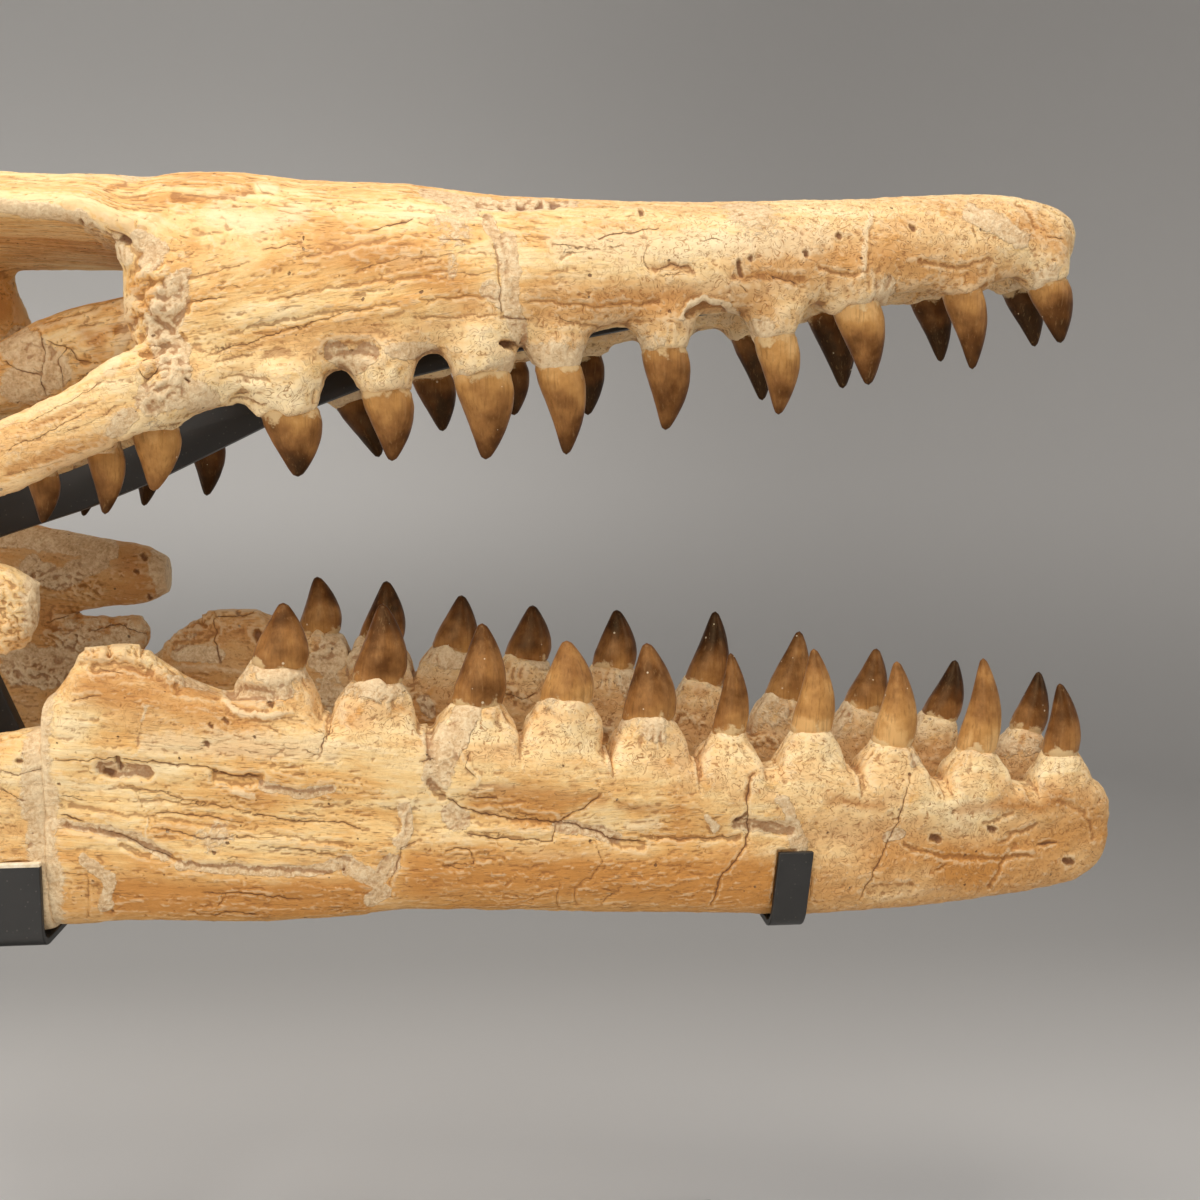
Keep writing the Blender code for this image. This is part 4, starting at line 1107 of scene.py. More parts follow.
STROKE_KINDS = (
    "crack", "filler", "honey", "rusty", "pale", "groove", "hollow", "ridge", "hole", "broken", "plate"
)
STEEPNESS = {"plate": 1.6, "hole": 1.6, "filler": 1.5, "hollow": 1.5}  # of a stroke's edge, else 1
PRESS_SHARE = {"ridge": -0.7, "plate": -1}  # how much of its stated depth a stroke gets, else 1
CRACK_PRESS = 0.5
BROKEN_PRESS = -0.6
EDGE_WOBBLES = ((1.6, 8, 11), (0.8, 3, 21))  # height and size in pixels, seed
RUBBLE_SIZE = 9  # pixels
CRACK_BORDER = 8  # pixels on each side where the distance to a crack is kept
CRACK_REACH = 5  # pixels on each side where it can be dark
CRACK_GROOVE = 2.7  # the least half-width in pixels that the mesh can hold
CRACK_THIN = 0.9  # a stroke's half-width in pixels that leaves no dark line
CRACK_WIDEN = 0.17  # millimetres of dark line for each pixel past that
MM_PER_PIXEL = 0.6


def side_of_line(flat, line):
    """The distance to a line, negative on one side of it, and how far along the line it is, from 0 to 1."""
    nearest = np.full(len(flat), np.inf)
    side = np.ones(len(flat))
    share_along = np.zeros(len(flat))
    ends = line[1:] if len(line) > 1 else line
    done = 0
    for start, end in zip(line, ends):
        start = np.array(start, float)
        along = np.array(end, float) - start
        length = max(along @ along, 1e-9)
        share = np.clip((flat - start) @ along / length, 0, 1)
        off = flat - start - share[:, None] * along
        distance = np.linalg.norm(off, axis=1)
        closer = distance < nearest
        nearest = np.where(closer, distance, nearest)
        side = np.where(closer, np.sign(along[0] * off[:, 1] - along[1] * off[:, 0]), side)
        share_along = np.where(closer, done + share, share_along)
        done += 1
    return nearest, side, share_along / done


def mark_strokes(name, points, normals):
    """How far each point is pressed in, in metres, and how much of each kind of stroke it has."""
    depth = np.zeros(len(points))
    masks = {kind: np.zeros(len(points)) for kind in STROKE_KINDS}
    masks["crack_side"] = np.full(len(points), CRACK_BORDER * MM_PER_PIXEL)
    masks["crack_wide"] = np.zeros(len(points))
    towards = np.array(CAMERA_PLACE) - points
    facing = (normals * towards).sum(axis=1) / np.linalg.norm(towards, axis=1)
    true_flat = photo_pixel(points)
    flat = true_flat.copy()
    for axis in (0, 1):
        flat[:, axis] += sum(high * wobble(true_flat, size, seed + axis) for high, size, seed in EDGE_WOBBLES)
    rubble = 1 - np.abs(wobble(true_flat, RUBBLE_SIZE, 31))
    rubble -= 0.6 * np.abs(wobble(true_flat, RUBBLE_SIZE / 2, 32))
    for low_y, high_y, strokes in STROKES.get(name, ()):
        open_side = np.clip(facing * 4, 0, 1) * (points[:, 1] > low_y) * (points[:, 1] < high_y)
        for kind, half_width, press, *line in strokes:
            border = CRACK_BORDER if kind == "crack" else 0
            low = np.min(line, axis=0) - half_width - border
            high = np.max(line, axis=0) + half_width + border
            near = np.flatnonzero(((flat > low) & (flat < high)).all(axis=1) & (open_side > 0))
            if not len(near):
                continue
            distance, side, share = side_of_line(flat[near], line)
            carved = max(half_width, CRACK_GROOVE) if kind == "crack" else half_width
            closeness = np.clip(1 - distance / carved, 0, 1)
            closeness = np.clip(closeness * STEEPNESS.get(kind, 1), 0, 1)
            closeness = closeness * closeness * (3 - 2 * closeness) * open_side[near]
            if kind == "crack":
                # It narrows to its ends, and each point keeps the crack that it is closest to
                kept = distance * MM_PER_PIXEL < np.abs(masks["crack_side"][near])
                taper = np.clip(np.minimum(share, 1 - share) * 5 + 0.35, 0, 1)
                wide = (half_width - CRACK_THIN) * CRACK_WIDEN * taper * (distance < CRACK_REACH)
                masks["crack_side"][near[kept]] = (distance * side * MM_PER_PIXEL)[kept]
                masks["crack_wide"][near[kept]] = (wide * (open_side[near] > 0.5))[kept]
                depth[near] += CRACK_PRESS * closeness * press * MM
            elif kind == "broken":
                depth[near] += BROKEN_PRESS * closeness * press * MM * rubble[near]
            else:
                depth[near] += closeness * press * MM * PRESS_SHARE.get(kind, 1)
            masks[kind][near] = np.maximum(masks[kind][near], closeness)
    return depth, masks


print("strokes:", {name: sum(len(part[2]) for part in parts) for name, parts in STROKES.items()})

# %% [markdown]
# The fibres of a bone follow its length. On the cranium they climb towards the snout behind the seam and
# run level in front of it and along the roof, and on the lower jaw they dip a little. The grain attribute
# is each point's place with that slope taken away, so that a pattern stretched along its first axis follows
# the fibres. What is taken away is nothing at the front, where the surface is seen from closest, because a
# large shift that fades over a short height would squeeze every pattern there into stripes.

# %% Grain and wormy zones
CRANIUM_CLIMB = 0.2  # rise for each unit along, behind the seam
JAW_DIP = -0.11
CLIMB_FROM = 0.10  # where along the skull the slope starts to fade, and where it has gone
CLIMB_TO = 0.26
ALONG_SKULL = np.linspace(-0.6, 0.6, 601)
ROOF_FROM = 0.705  # the heights between which the slope fades towards the roof
ROOF_TO = 0.775
WORMY_MARGIN = (18 * MM, 50 * MM)  # from the tooth row, where it is full and where it has gone
WORMY_FRONT = {"upper": (0.14, 0.30), "lower": (0.26, 0.40)}  # where along the jaw the front zone starts
WORMY_ROW = {"upper": (-0.05, 0.10), "lower": (0.02, 0.10)}


def smooth_step(values, low, high):
    part = np.clip((values - low) / (high - low), 0, 1)
    return part * part * (3 - 2 * part)


def grain_of(name, points):
    """Each point's place with the slope of the bone's fibres taken out."""
    slope = 1 - smooth_step(ALONG_SKULL, CLIMB_FROM, CLIMB_TO)
    gone = np.cumsum(slope) * (ALONG_SKULL[1] - ALONG_SKULL[0])
    rise = np.interp(points[:, 0], ALONG_SKULL, gone - gone[-1])
    if name == "cranium":
        rise = rise * CRANIUM_CLIMB * (1 - smooth_step(points[:, 2], ROOF_FROM, ROOF_TO))
    elif "jaw" in name or "dentary" in name:
        rise = rise * JAW_DIP
    else:
        return points[:, (2, 1, 0)]
    grain = points.copy()
    grain[:, 2] -= rise
    return grain


def wormy_of(name, points):
    """How wormy the surface is: most in the front of both jaws and near the tooth rows."""
    x, z = points[:, 0], points[:, 2]
    if name != "cranium" and "dentary" not in name:
        return np.full(len(points), 0.4)
    jaw = "upper" if name == "cranium" else "lower"
    held = [base for node, (base, _, _) in CROWNS.items() if jaw + "_tooth_right" in node]
    bases = np.array(sorted(base[[0, 2]].tolist() for base in held))
    away = np.abs(z - np.interp(x, bases[:, 0], bases[:, 1]))
    margin = 1 - smooth_step(away, *WORMY_MARGIN)
    front = smooth_step(x, *WORMY_FRONT[jaw])
    row = smooth_step(x, *WORMY_ROW[jaw])
    return np.clip(0.15 + 0.8 * front + margin * (0.35 + 0.5 * row), 0, 1)


print("the fibres climb", CRANIUM_CLIMB, "on the cranium and", JAW_DIP, "on the lower jaws")

# %% [markdown]
# Around each crown the jaw bone swells to a rim and is ribbed from the root to the rim. The rim is a soft
# ring of pushed-out points, found from the crown's own base and axis. Between two crowns the jaw's edge dips
# to a valley, and the pedestals' feet spread into it. A valley is measured by the gap between its two crowns,
# so that narrow and wide ones get the same round shape.

# %% Valleys between the pedestals
LOWER_VALLEY = 9 * MM  # how far the jaw's edge dips between two pedestals
UPPER_VALLEY = 1.2 * MM
VALLEY_FADE = 30 * MM  # how far below its edge the jaw still follows a valley
WIDEST_SLOPE = 13 * MM  # from a crown's foot to the lowest place of a valley
LEAST_SLOPE = 3 * MM
FOOT_SHARE = 0.9  # of a crown's half-length that its foot covers
ROW_REACH = 26 * MM  # how far across the jaw a row's valleys reach
LOWER_FLARE = 4 * MM  # how far a pedestal's foot spreads along the jaw
UPPER_FLARE = 1.5 * MM


def lumpy(points, size, seed):
    """Smooth noise between -1 and 1 in space, from three flat ones."""
    pairs = (points[:, :2], points[:, 1:], points[:, ::2])
    return sum(wobble(pair, size, seed + number) for number, pair in enumerate(pairs)) / 1.8


def valley_shift(name, points, held, uneven):
    """How each point moves where a jaw's edge dips between the crowns that it holds."""
    shift = np.zeros_like(points)
    bases, tips = (np.array([row[part] for row in held]) for part in (0, 1))
    halves = np.array([half for _, _, half in held])
    axes = (tips - bases) / np.linalg.norm(tips - bases, axis=1, keepdims=True)
    upper = name == "cranium"
    deep, flare = (UPPER_VALLEY, UPPER_FLARE) if upper else (LOWER_VALLEY, LOWER_FLARE)
    for side in (-1, 1) if upper else (np.sign(np.median(bases[:, 1])),):
        row = np.flatnonzero(np.sign(bases[:, 1]) == side)
        row = row[bases[row, 0].argsort()]
        gaps = np.diff(bases[row, 0]) - FOOT_SHARE * (halves[row][1:] + halves[row][:-1])
        slopes = np.clip(np.pad(gaps / 2, 1, constant_values=WIDEST_SLOPE), LEAST_SLOPE, WIDEST_SLOPE)

        # How far each point is past the closest crown's foot, as a share of the slope there
        mine = np.flatnonzero(np.sign(points[:, 1]) == side)
        x = points[mine, 0]
        off = x[:, None] - bases[row, 0]
        past = np.abs(off) - FOOT_SHARE * halves[row]
        pick = past.argmin(axis=1)
        closest = row[pick]
        side_off = np.take_along_axis(off, pick[:, None], 1)[:, 0]
        slope = np.where(side_off < 0, slopes[pick], slopes[pick + 1])
        reach = past.min(axis=1) / slope
        under = -((points[mine] - bases[closest]) * axes[closest]).sum(axis=1)
        within = (x > bases[row, 0].min() - MM) & (x < bases[row, 0].max() + MM)
        near_row = np.abs(points[mine, 1] - bases[closest, 1]) < ROW_REACH

        foot = smooth_step(under, 0, 12 * MM) * (1 - smooth_step(under, 14 * MM, 26 * MM)) * near_row
        foot *= smooth_step(reach, -0.3, 0.3) * (1 - smooth_step(reach, 0.4, 1.0))
        shift[mine, 0] += np.minimum(flare, 0.4 * slope) * foot * np.sign(side_off)
        dip = smooth_step(reach + 0.15 * uneven[mine], 0.1, 0.95) * within * near_row
        dip *= 1 - smooth_step(under, deep + 2 * MM, deep + 2 * MM + VALLEY_FADE)
        shift[mine] -= axes[closest] * (deep * dip * (1 + 0.25 * uneven[mine]))[:, None]
    return shift


print("valleys:", LOWER_VALLEY / MM, "mm deep below,", UPPER_VALLEY / MM, "mm above")

# %% Pedestal rims
RIM_HEIGHT = 0.7 * MM
RIB_HEIGHT = 0.45 * MM
RIBS = 11
CREEP = 4 * MM  # how far the bone climbs onto a crown where it climbs most
STAIN_REACH = 11 * MM  # how far below a crown its pedestal is stained
FAR_STAIN_REACH = 17 * MM


def hump(values, middle, width):
    """1 where the values are at the middle, and falling softly to nothing on both sides."""
    return np.exp(-(((values - middle) / width) ** 2))


def pedestal_shift(name, points, normals):
    """How each point moves as part of a crown's pedestal, and how close it is to a crown."""
    close = np.zeros(len(points))
    row_name = {"cranium": "upper", "dentary": "lower_tooth" + name[7:]}.get(name.split("_")[0])
    held = [row for node, row in CROWNS.items() if row_name and node.startswith(row_name)]
    if not held:
        return np.zeros_like(points), close
    uneven = lumpy(points, 7 * MM, 41)
    tongue = lumpy(points, 9 * MM, 45)
    stain = FAR_STAIN_REACH if name.endswith("left") else STAIN_REACH
    shift = valley_shift(name, points, held, uneven)
    for number, (base, tip, half) in enumerate(held):
        axis = (tip - base) / np.linalg.norm(tip - base)
        near = np.flatnonzero(np.abs(points - base).max(axis=1) < half * 2.6)
        off = points[near] - base
        up = off @ axis
        out = off - up[:, None] * axis
        reach = np.linalg.norm(out, axis=1) / half
        angle = np.arctan2(out[:, 1], out[:, 0])
        rough = uneven[near]
        ring = hump(up, -2 * MM, 2.6 * MM) * (reach < 1.7) * (0.7 + 0.6 * rough)
        neck = hump(up, -8 * MM, 4 * MM) * (reach < 1.9)
        foot = hump(up, -9 * MM, 7 * MM) * (reach < 2)
        ribs = np.cos(RIBS * angle + 2.5 * np.sin(3 * angle + number) + 2 * rough) * foot * (0.5 + rough)
        rise = RIM_HEIGHT * ring - 0.3 * RIM_HEIGHT * neck + RIB_HEIGHT * ribs
        climb = hump(up, -MM, 3 * MM) * (reach < 1.45) * np.clip(0.3 + 1.2 * tongue[near], 0, 1)
        shift[near] += normals[near] * rise[:, None] + axis * (CREEP * climb)[:, None]
        close[near] = np.maximum(close[near], hump(up, 0, stain) * (reach < 1.8))
    return shift, close


print("pedestals:", len(CROWNS))

# %% [markdown]
# The rest of the relief isn't drawn by hand. A Geometry Nodes tree lifts and sinks every point along its
# normal with noise that follows the grain: slow lumps, fibres, splits, flakes, knobs and small pits. Matrix
# is kept smooth, wormy zones have knobs in place of fibres, and broken places are crumpled. Its inputs are
# the real heights, so one tree serves all the bones.

# %% Relief tree
# Each field: its size in millimetres along and across the fibres, detail, detail's strength and bend
RELIEF_FIELDS = {
    "lump": (70, 28, 3, 0.55, 0.0),
    "strand": (60, 5.5, 3, 0.6, 0.3),
    "gap": (30, 10, 2, 0.55, 0.0),
    "flake": (45, 13, 4, 0.6, 0.0),
    "knob": (11, 8, 3, 0.6, 0.0),
    "pit": (9, 5, 2, 0.5, 0.6),
    "crumple": (22, 17, 2, 0.5, 1.1),
    "crumb": (9, 8, 2, 0.6, 0.8),
}
RELIEF_SIZES = ("Lump", "Fibre", "Split", "Flake", "Knob", "Pit", "Crumple", "Crumb", "Seed")


def new_tree(name, sizes, shapes=()):
    """A Geometry Nodes tree that takes shapes, sizes and a material, and gives one shape."""
    tree = bpy.data.node_groups.new(name, "GeometryNodeTree")
    taken = [(label, "Geometry") for label in shapes] + [(label, "Float") for label in sizes]
    for label, kind in taken + [("Material", "Material")]:
        tree.interface.new_socket(label, in_out="INPUT", socket_type="NodeSocket" + kind)
    tree.interface.new_socket("Geometry", in_out="OUTPUT", socket_type="NodeSocketGeometry")
    return tree


def end_tree(add, shape, material):
    """The last nodes: instances are made real, because the export drops them, and get the material."""
    shape = add("GeometryNodeRealizeInstances", (shape,))
    shape = add("GeometryNodeSetMaterial", {"Geometry": shape, "Material": material})
    add("NodeGroupOutput", (shape,))


def relief_tree():
    """Geometry Nodes: relief along the normals, fibres hidden by matrix, crumpled where it is broken."""
    tree = new_tree("bone_relief", RELIEF_SIZES, ("Geometry",))
    add = functools.partial(add_node, tree)
    given = add("NodeGroupInput").node.outputs
    stored = {}
    for name in ("grain", "filler", "wormy", "broken"):
        kind = "FLOAT_VECTOR" if name == "grain" else "FLOAT"
        stored[name] = add("GeometryNodeInputNamedAttribute", (name,), "Attribute", data_type=kind)
    field = {}
    for name, (along, across, detail, rough, bend) in RELIEF_FIELDS.items():
        scale = (1 / (along * MM), 1 / (across * MM), 1 / (across * MM))
        moved = add(VECTOR_MATH, (stored["grain"], scale), operation="MULTIPLY")
        inputs = {"Vector": moved, "W": given["Seed"], "Scale": 1, "Detail": detail}
        inputs.update({"Roughness": rough, "Distortion": bend})
        noise = add(NOISE, inputs, noise_dimensions="4D")
        field[name] = add(MATH, (noise, 0.5), operation="SUBTRACT")

    # A split runs where the strands' noise is near nothing, and a flake has a steep edge
    split = add(MATH, (field["strand"],), operation="ABSOLUTE")
    split = add(RANGE, (split, 0.05, 0.0), **STEP)
    split = add(MATH, (split, add(RANGE, (field["gap"], -0.02, 0.1), **STEP)), operation="MULTIPLY")
    flake = add(RANGE, (field["flake"], 0.0, 0.04), **STEP)
    pit = add(RANGE, (field["pit"], 0.14, 0.26), **STEP)
    knobby = add(MATH, (stored["filler"], 0.8, stored["wormy"]), operation="MULTIPLY_ADD")
    knobby = add(MATH, (knobby, 0.5), operation="ADD")
    knob = add(MATH, (field["knob"], knobby), operation="MULTIPLY")
    straight = add(MATH, (stored["wormy"], -1.0, 1.0), operation="MULTIPLY_ADD")
    strand, split, flake = (
        add(MATH, (layer, straight), operation="MULTIPLY") for layer in (field["strand"], split, flake)
    )
    height = 0.0
    for layer, size in ((strand, "Fibre"), (flake, "Flake"), (knob, "Knob")):
        height = add(MATH, (layer, given[size], height), operation="MULTIPLY_ADD")
    for layer, size in ((split, "Split"), (pit, "Pit")):
        cut = add(MATH, (layer, given[size]), operation="MULTIPLY")
        height = add(MATH, (height, cut), operation="SUBTRACT")
    bare = add(MATH, (stored["filler"], -0.6, 1.0), operation="MULTIPLY_ADD")
    height = add(MATH, (height, bare), operation="MULTIPLY")
    height = add(MATH, (field["lump"], given["Lump"], height), operation="MULTIPLY_ADD")

    # Broken places are crumpled: sharp ridges stand where a noise passes its middle
    for name, size in (("crumple", "Crumple"), ("crumb", "Crumb")):
        ridge = add(MATH, (field[name],), operation="ABSOLUTE")
        ridge = add(MATH, (ridge, -1.0, 0.1), operation="MULTIPLY_ADD")
        ridge = add(MATH, (ridge, stored["broken"]), operation="MULTIPLY")
        height = add(MATH, (ridge, given[size], height), operation="MULTIPLY_ADD")

    offset = add(VECTOR_MATH, {0: add("GeometryNodeInputNormal"), "Scale": height}, operation="SCALE")
    shape = add("GeometryNodeSetPosition", {"Geometry": given["Geometry"], "Offset": offset})
    end_tree(add, shape, given["Material"])
    return tree


def run_tree(obj, tree, values):
    """Runs a Geometry Nodes tree on an object and keeps the result as its plain mesh."""
    modifier = obj.modifiers.new(tree.name, "NODES")
    sockets = {item.name: item.identifier for item in tree.interface.items_tree if item.in_out == "INPUT"}
    modifier.node_group = tree
    for name, value in values.items():
        modifier[sockets[name]] = value
    return applied(obj)


RELIEF = relief_tree()
print("relief tree:", len(RELIEF.nodes), "nodes")

# %% [markdown]
# The straps press into the bones' sides a little, so the finished bones are kept out of them: any point
# that has come to lie in a strap goes back to its inner face. A bone also stays inside its own solid's box.
# Then the mesh is thinned with a Decimate modifier, most where the photograph doesn't look. A lower voxel
# count for the whole bone would be simpler, and would blur the side that is seen.

# %% Fit and thin a bone
STRAP_THICK = 4 * MM
STRAP_GAP = 0.3 * MM
BEND_RADIUS = 12 * MM  # outside, where a strap turns up
STRAPS = ("front_strap", "middle_strap", "rear_strap")
STRAP_LEAN = {"front_strap": 0.11}  # how far a strap leans forwards for each unit up, else not at all
BOX_ALLOWANCE = 0.4 * MM
SEAM_DRAW = 3.5 * MM
SEAM_REACH = 8 * MM
FACE_LIMITS = {
    "cranium": 190000,
    "dentary_right": 190000,
    "dentary_left": 130000,
    "rear_jaw": 100000,
    "quadrate": 50000,
}
SEEN_MARGIN = 20  # pixels round the photograph that count as seen
SEEN_SPARE = 0.25  # how readily a seen point is given up, where an unseen one has 1


def keep_out_of_straps(points):
    """Moves points that lie in a strap to its inner face, corners rounded as the strap's are."""
    for strap in STRAPS:
        low, high = (np.array(corner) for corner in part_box(strap))
        half_width = high[1] - STRAP_THICK - STRAP_GAP
        floor = low[2] + STRAP_THICK + STRAP_GAP
        inner_bend = BEND_RADIUS - STRAP_THICK
        x, y, z = points.T
        lean = STRAP_LEAN.get(strap, 0)
        upright = x - lean * (z - low[2])
        within = (upright > low[0] - MM) & (upright < high[0] - lean * (high[2] - low[2]) + MM)
        within &= z < high[2] + MM
        side = np.abs(y)
        corner_y = half_width - inner_bend
        corner_z = floor + inner_bend
        off_y = side - corner_y
        off_z = corner_z - z
        past = np.hypot(off_y, off_z)
        bend = within & (off_y > 0) & (off_z > 0) & (past > inner_bend)
        scale = np.where(bend, inner_bend / np.maximum(past, 1e-6), 1)
        points[:, 1] = np.where(bend, np.sign(y) * (corner_y + off_y * scale), y)
        points[:, 2] = np.where(bend, corner_z - off_z * scale, z)
        y, z = points[:, 1], points[:, 2]
        points[:, 1] = np.where(within, np.clip(y, -half_width, half_width), y)
        points[:, 2] = np.where(within, np.maximum(z, floor), z)
    return points


def square_end(points, node):
    """Draws a lower jaw bone's rounded end out to its seam, which keep_in_box then cuts flat."""
    low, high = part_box(node)
    if node.startswith("dentary"):
        points[:, 0] -= SEAM_DRAW * (1 - smooth_step(points[:, 0], low[0], low[0] + SEAM_REACH))
    elif node.startswith("rear_jaw"):
        points[:, 0] += SEAM_DRAW * smooth_step(points[:, 0], high[0] - SEAM_REACH, high[0])
    return points


def keep_in_box(points, node):
    low, high = (np.array(corner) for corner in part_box(node))
    low = np.maximum(low - BOX_ALLOWANCE, CAD_BOX[0])
    high = np.minimum(high + BOX_ALLOWANCE, CAD_BOX[1])
    return np.clip(points, low, high)


def store_cavity(mesh):
    """Stores how hollow (under 0.5) or raised (over 0.5) the surface is, in its small and large forms."""
    points = points_of(mesh)
    normals = normals_of(mesh)
    edges = edges_of(mesh)
    fine = ((points - spread_out(points, edges, 2)) * normals).sum(axis=1)
    broad = ((points - spread_out(points, edges, 14)) * normals).sum(axis=1)
    put_attribute(mesh, "cavity", np.clip(0.5 + fine / (0.5 * MM) + broad / (2.6 * MM), 0, 1))


def thin_out(obj):
    """Collapses the mesh to the face limit, and keeps most of it on the side that the camera sees."""
    mesh = obj.data
    triangles = sum(len(face.vertices) - 2 for face in mesh.polygons)
    limit = next(limit for start, limit in FACE_LIMITS.items() if obj.name.startswith(start))
    if triangles <= limit:
        return
    points = points_of(mesh)
    towards = np.array(CAMERA_PLACE) - points
    facing = (normals_of(mesh) * towards).sum(axis=1) / np.linalg.norm(towards, axis=1)
    flat = photo_pixel(points)
    in_photo = ((flat > -SEEN_MARGIN) & (flat < PHOTO_SIDE + SEEN_MARGIN)).all(axis=1)
    spare = np.where(in_photo & (facing > -0.1), SEEN_SPARE, 1.0)
    group = obj.vertex_groups.new(name="spare")
    for weight in (SEEN_SPARE, 1.0):
        chosen = np.flatnonzero(spare == weight)
        group.add(chosen.tolist(), weight, "REPLACE")
    thin = obj.modifiers.new("thin", "DECIMATE")
    thin.ratio = limit / triangles
    thin.vertex_group = "spare"
    thin.use_collapse_triangulate = True
    applied(obj)


print("faces in all, at most:", sum(FACE_LIMITS.values()) + FACE_LIMITS["rear_jaw"] + FACE_LIMITS["quadrate"])

# %% [markdown]
# Now each bone is made in one pass. Some colours aren't single strokes: mud below the crowns and at the seam
# between two bones, and painted shade: honey-brown along a jaw's lower edge, and on the far jaw's side that
# faces us.
# They are worked out from the bone's own shape, and every mask is stored before a point moves.

# %% Make the bones
EDGE_STEP = 10 * MM  # between the places where a jaw's lower edge is measured
RELIEF_HEIGHTS = {
    "Lump": 3.2 * MM,
    "Fibre": 1.0 * MM,
    "Split": 0.6 * MM,
    "Flake": 0.5 * MM,
    "Knob": 1.8 * MM,
    "Pit": 1.0 * MM,
    "Crumple": 20 * MM,
    "Crumb": 7 * MM,
    "Material": BONE,
}
BONES = (
    "cranium",
    "dentary_right",
    "dentary_left",
    "rear_jaw_right",
    "rear_jaw_left",
    "quadrate_right",
    "quadrate_left",
)


def lower_edge(points):
    """Places along a jaw bone, and the height of its lower edge at each."""
    places = np.arange(points[:, 0].min(), points[:, 0].max(), EDGE_STEP)
    order = np.digitize(points[:, 0], places) - 1
    heights = np.full(len(places), np.inf)
    np.minimum.at(heights, order, points[:, 2])
    return places + EDGE_STEP / 2, heights


def mark_bone(node, mesh):
    """Stores a bone's masks, and gives where its points go."""
    points = points_of(mesh)
    normals = normals_of(mesh)
    depth, masks = mark_strokes(node, points, normals)
    shift, close = pedestal_shift(node, points, normals)
    uneven = lumpy(points, 16 * MM, 51)
    far = 0.5 if "_left" in node else 0.1
    mud = np.clip(close * (uneven + far) * 1.6, 0, 0.8)
    mud += np.clip(lumpy(points, 45 * MM, 61) * 2 - 1.1, 0, 0.7)
    masks["rusty"] += close * np.clip(lumpy(points, 6 * MM, 71) * 2.5 - 0.4, 0, 1) * (0.4 + far)
    if "dentary" in node or "rear_jaw" in node:
        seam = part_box(node)[0 if "dentary" in node else 1][0]
        mud += 0.9 * (1 - smooth_step(np.abs(points[:, 0] - seam) + 4 * MM * uneven, 3 * MM, 14 * MM))
        # Painted shade in honey-brown along the jaw's lower edge, where its underside turns from the light
        underside = points[:, 2] - np.interp(points[:, 0], *lower_edge(points))
        masks["honey"] += 0.85 * (1 - smooth_step(underside + 12 * MM * uneven, 8 * MM, 50 * MM))
    # Painted shade on the far bones' side that faces us, between the jaws: rust-brown on the dentary,
    # honey-brown on the rear jaw
    if "_left" in node:
        inner = smooth_step(-normals[:, 1], -0.2, 0.4)
        masks["rusty" if "dentary" in node else "honey"] += 0.9 * inner * (1 - 0.9 * close)
    put_attribute(mesh, "filler", np.clip(masks["filler"] + mud, 0, 1))
    # Ridge strokes are made paler: a painted highlight on their crests
    put_attribute(mesh, "pale", np.clip(masks["pale"] + 0.35 * close + 0.4 * masks["ridge"], 0, 1))
    for kind in ("crack_side", "crack_wide", "honey", "rusty", "hole", "broken"):
        put_attribute(mesh, kind, masks[kind])
    put_attribute(mesh, "grain", grain_of(node, points + shift))
    put_attribute(mesh, "wormy", np.clip(wormy_of(node, points) + 0.6 * close, 0, 1))
    return points + shift - normals * depth[:, None]


def make_bone(node, seed):
    """One bone: smooth copy, strokes, pedestal rims, relief, then fitted and thinned."""
    obj = smooth_copy(node)
    put_points(obj.data, mark_bone(node, obj.data))
    mesh = run_tree(obj, RELIEF, {**RELIEF_HEIGHTS, "Seed": float(seed)})
    fitted = keep_out_of_straps(square_end(points_of(mesh), node))
    put_points(mesh, keep_in_box(fitted, node))
    thin_out(obj)
    obj.data.shade_smooth()
    store_cavity(obj.data)
    obj.data.name = node + "_surface"
    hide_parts(node)
    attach(obj, "root")
    return obj


for seed, node in enumerate(BONES, 1):
    made = make_bone(node, seed)
    print(node, len(made.data.vertices), "points", len(made.data.polygons), "faces")

# %% [markdown]
# ## Tooth crowns
# A crown follows a rule: a cone that bows forwards, narrows along a fixed curve, is flattened across the
# jaw and has a keel in front and behind. That makes it work for Geometry Nodes. The tree takes a cylinder
# and bends it by that rule, with the crown's own sizes as inputs, and stores the height and the tone that
# the enamel reads.

# %% Crown tree
CROWN_SIDES = 44
CROWN_RINGS = 40
CROWN_ROOT = 7 * MM  # how far a crown reaches into its pedestal
CROWN_FLATNESS = 0.84
CROWN_BOW = 0.06  # of its length
CROWN_SWELL = 1.02
CROWN_KEEL = 0.06  # of its radius
CROWN_UNEVENNESS = 0.16
KEEL_SHARPNESS = 14.0
RING_PLACE = 32.0  # a swollen ring stands at one part in this many above the base
RING_RISE = 0.035
CROWN_SIZES = ("Length", "Radius", "Root", "Flatness", "Bow", "Keel", "Unevenness", "Tone", "Fall", "Seed")
# How dark a row's enamel is at the base, and how much darker it gets to the tip
CROWN_TONES = {
    ("upper", "right"): (0.08, 0.75),
    ("upper", "left"): (0.55, 0.6),
    ("lower", "right"): (0.22, 0.4),
    ("lower", "left"): (0.26, 0.65),
}
# How wide a crown is, as a share of its widest, at each share of its height
TAPER = {0: 0.95, 0.16: 0.99, 0.34: 0.9, 0.58: 0.68, 0.8: 0.42, 0.92: 0.25, 0.975: 0.15, 1: 0.02}
TONE_SPREAD = (-0.18, 0.16)  # how much lighter or darker than its row a crown may be


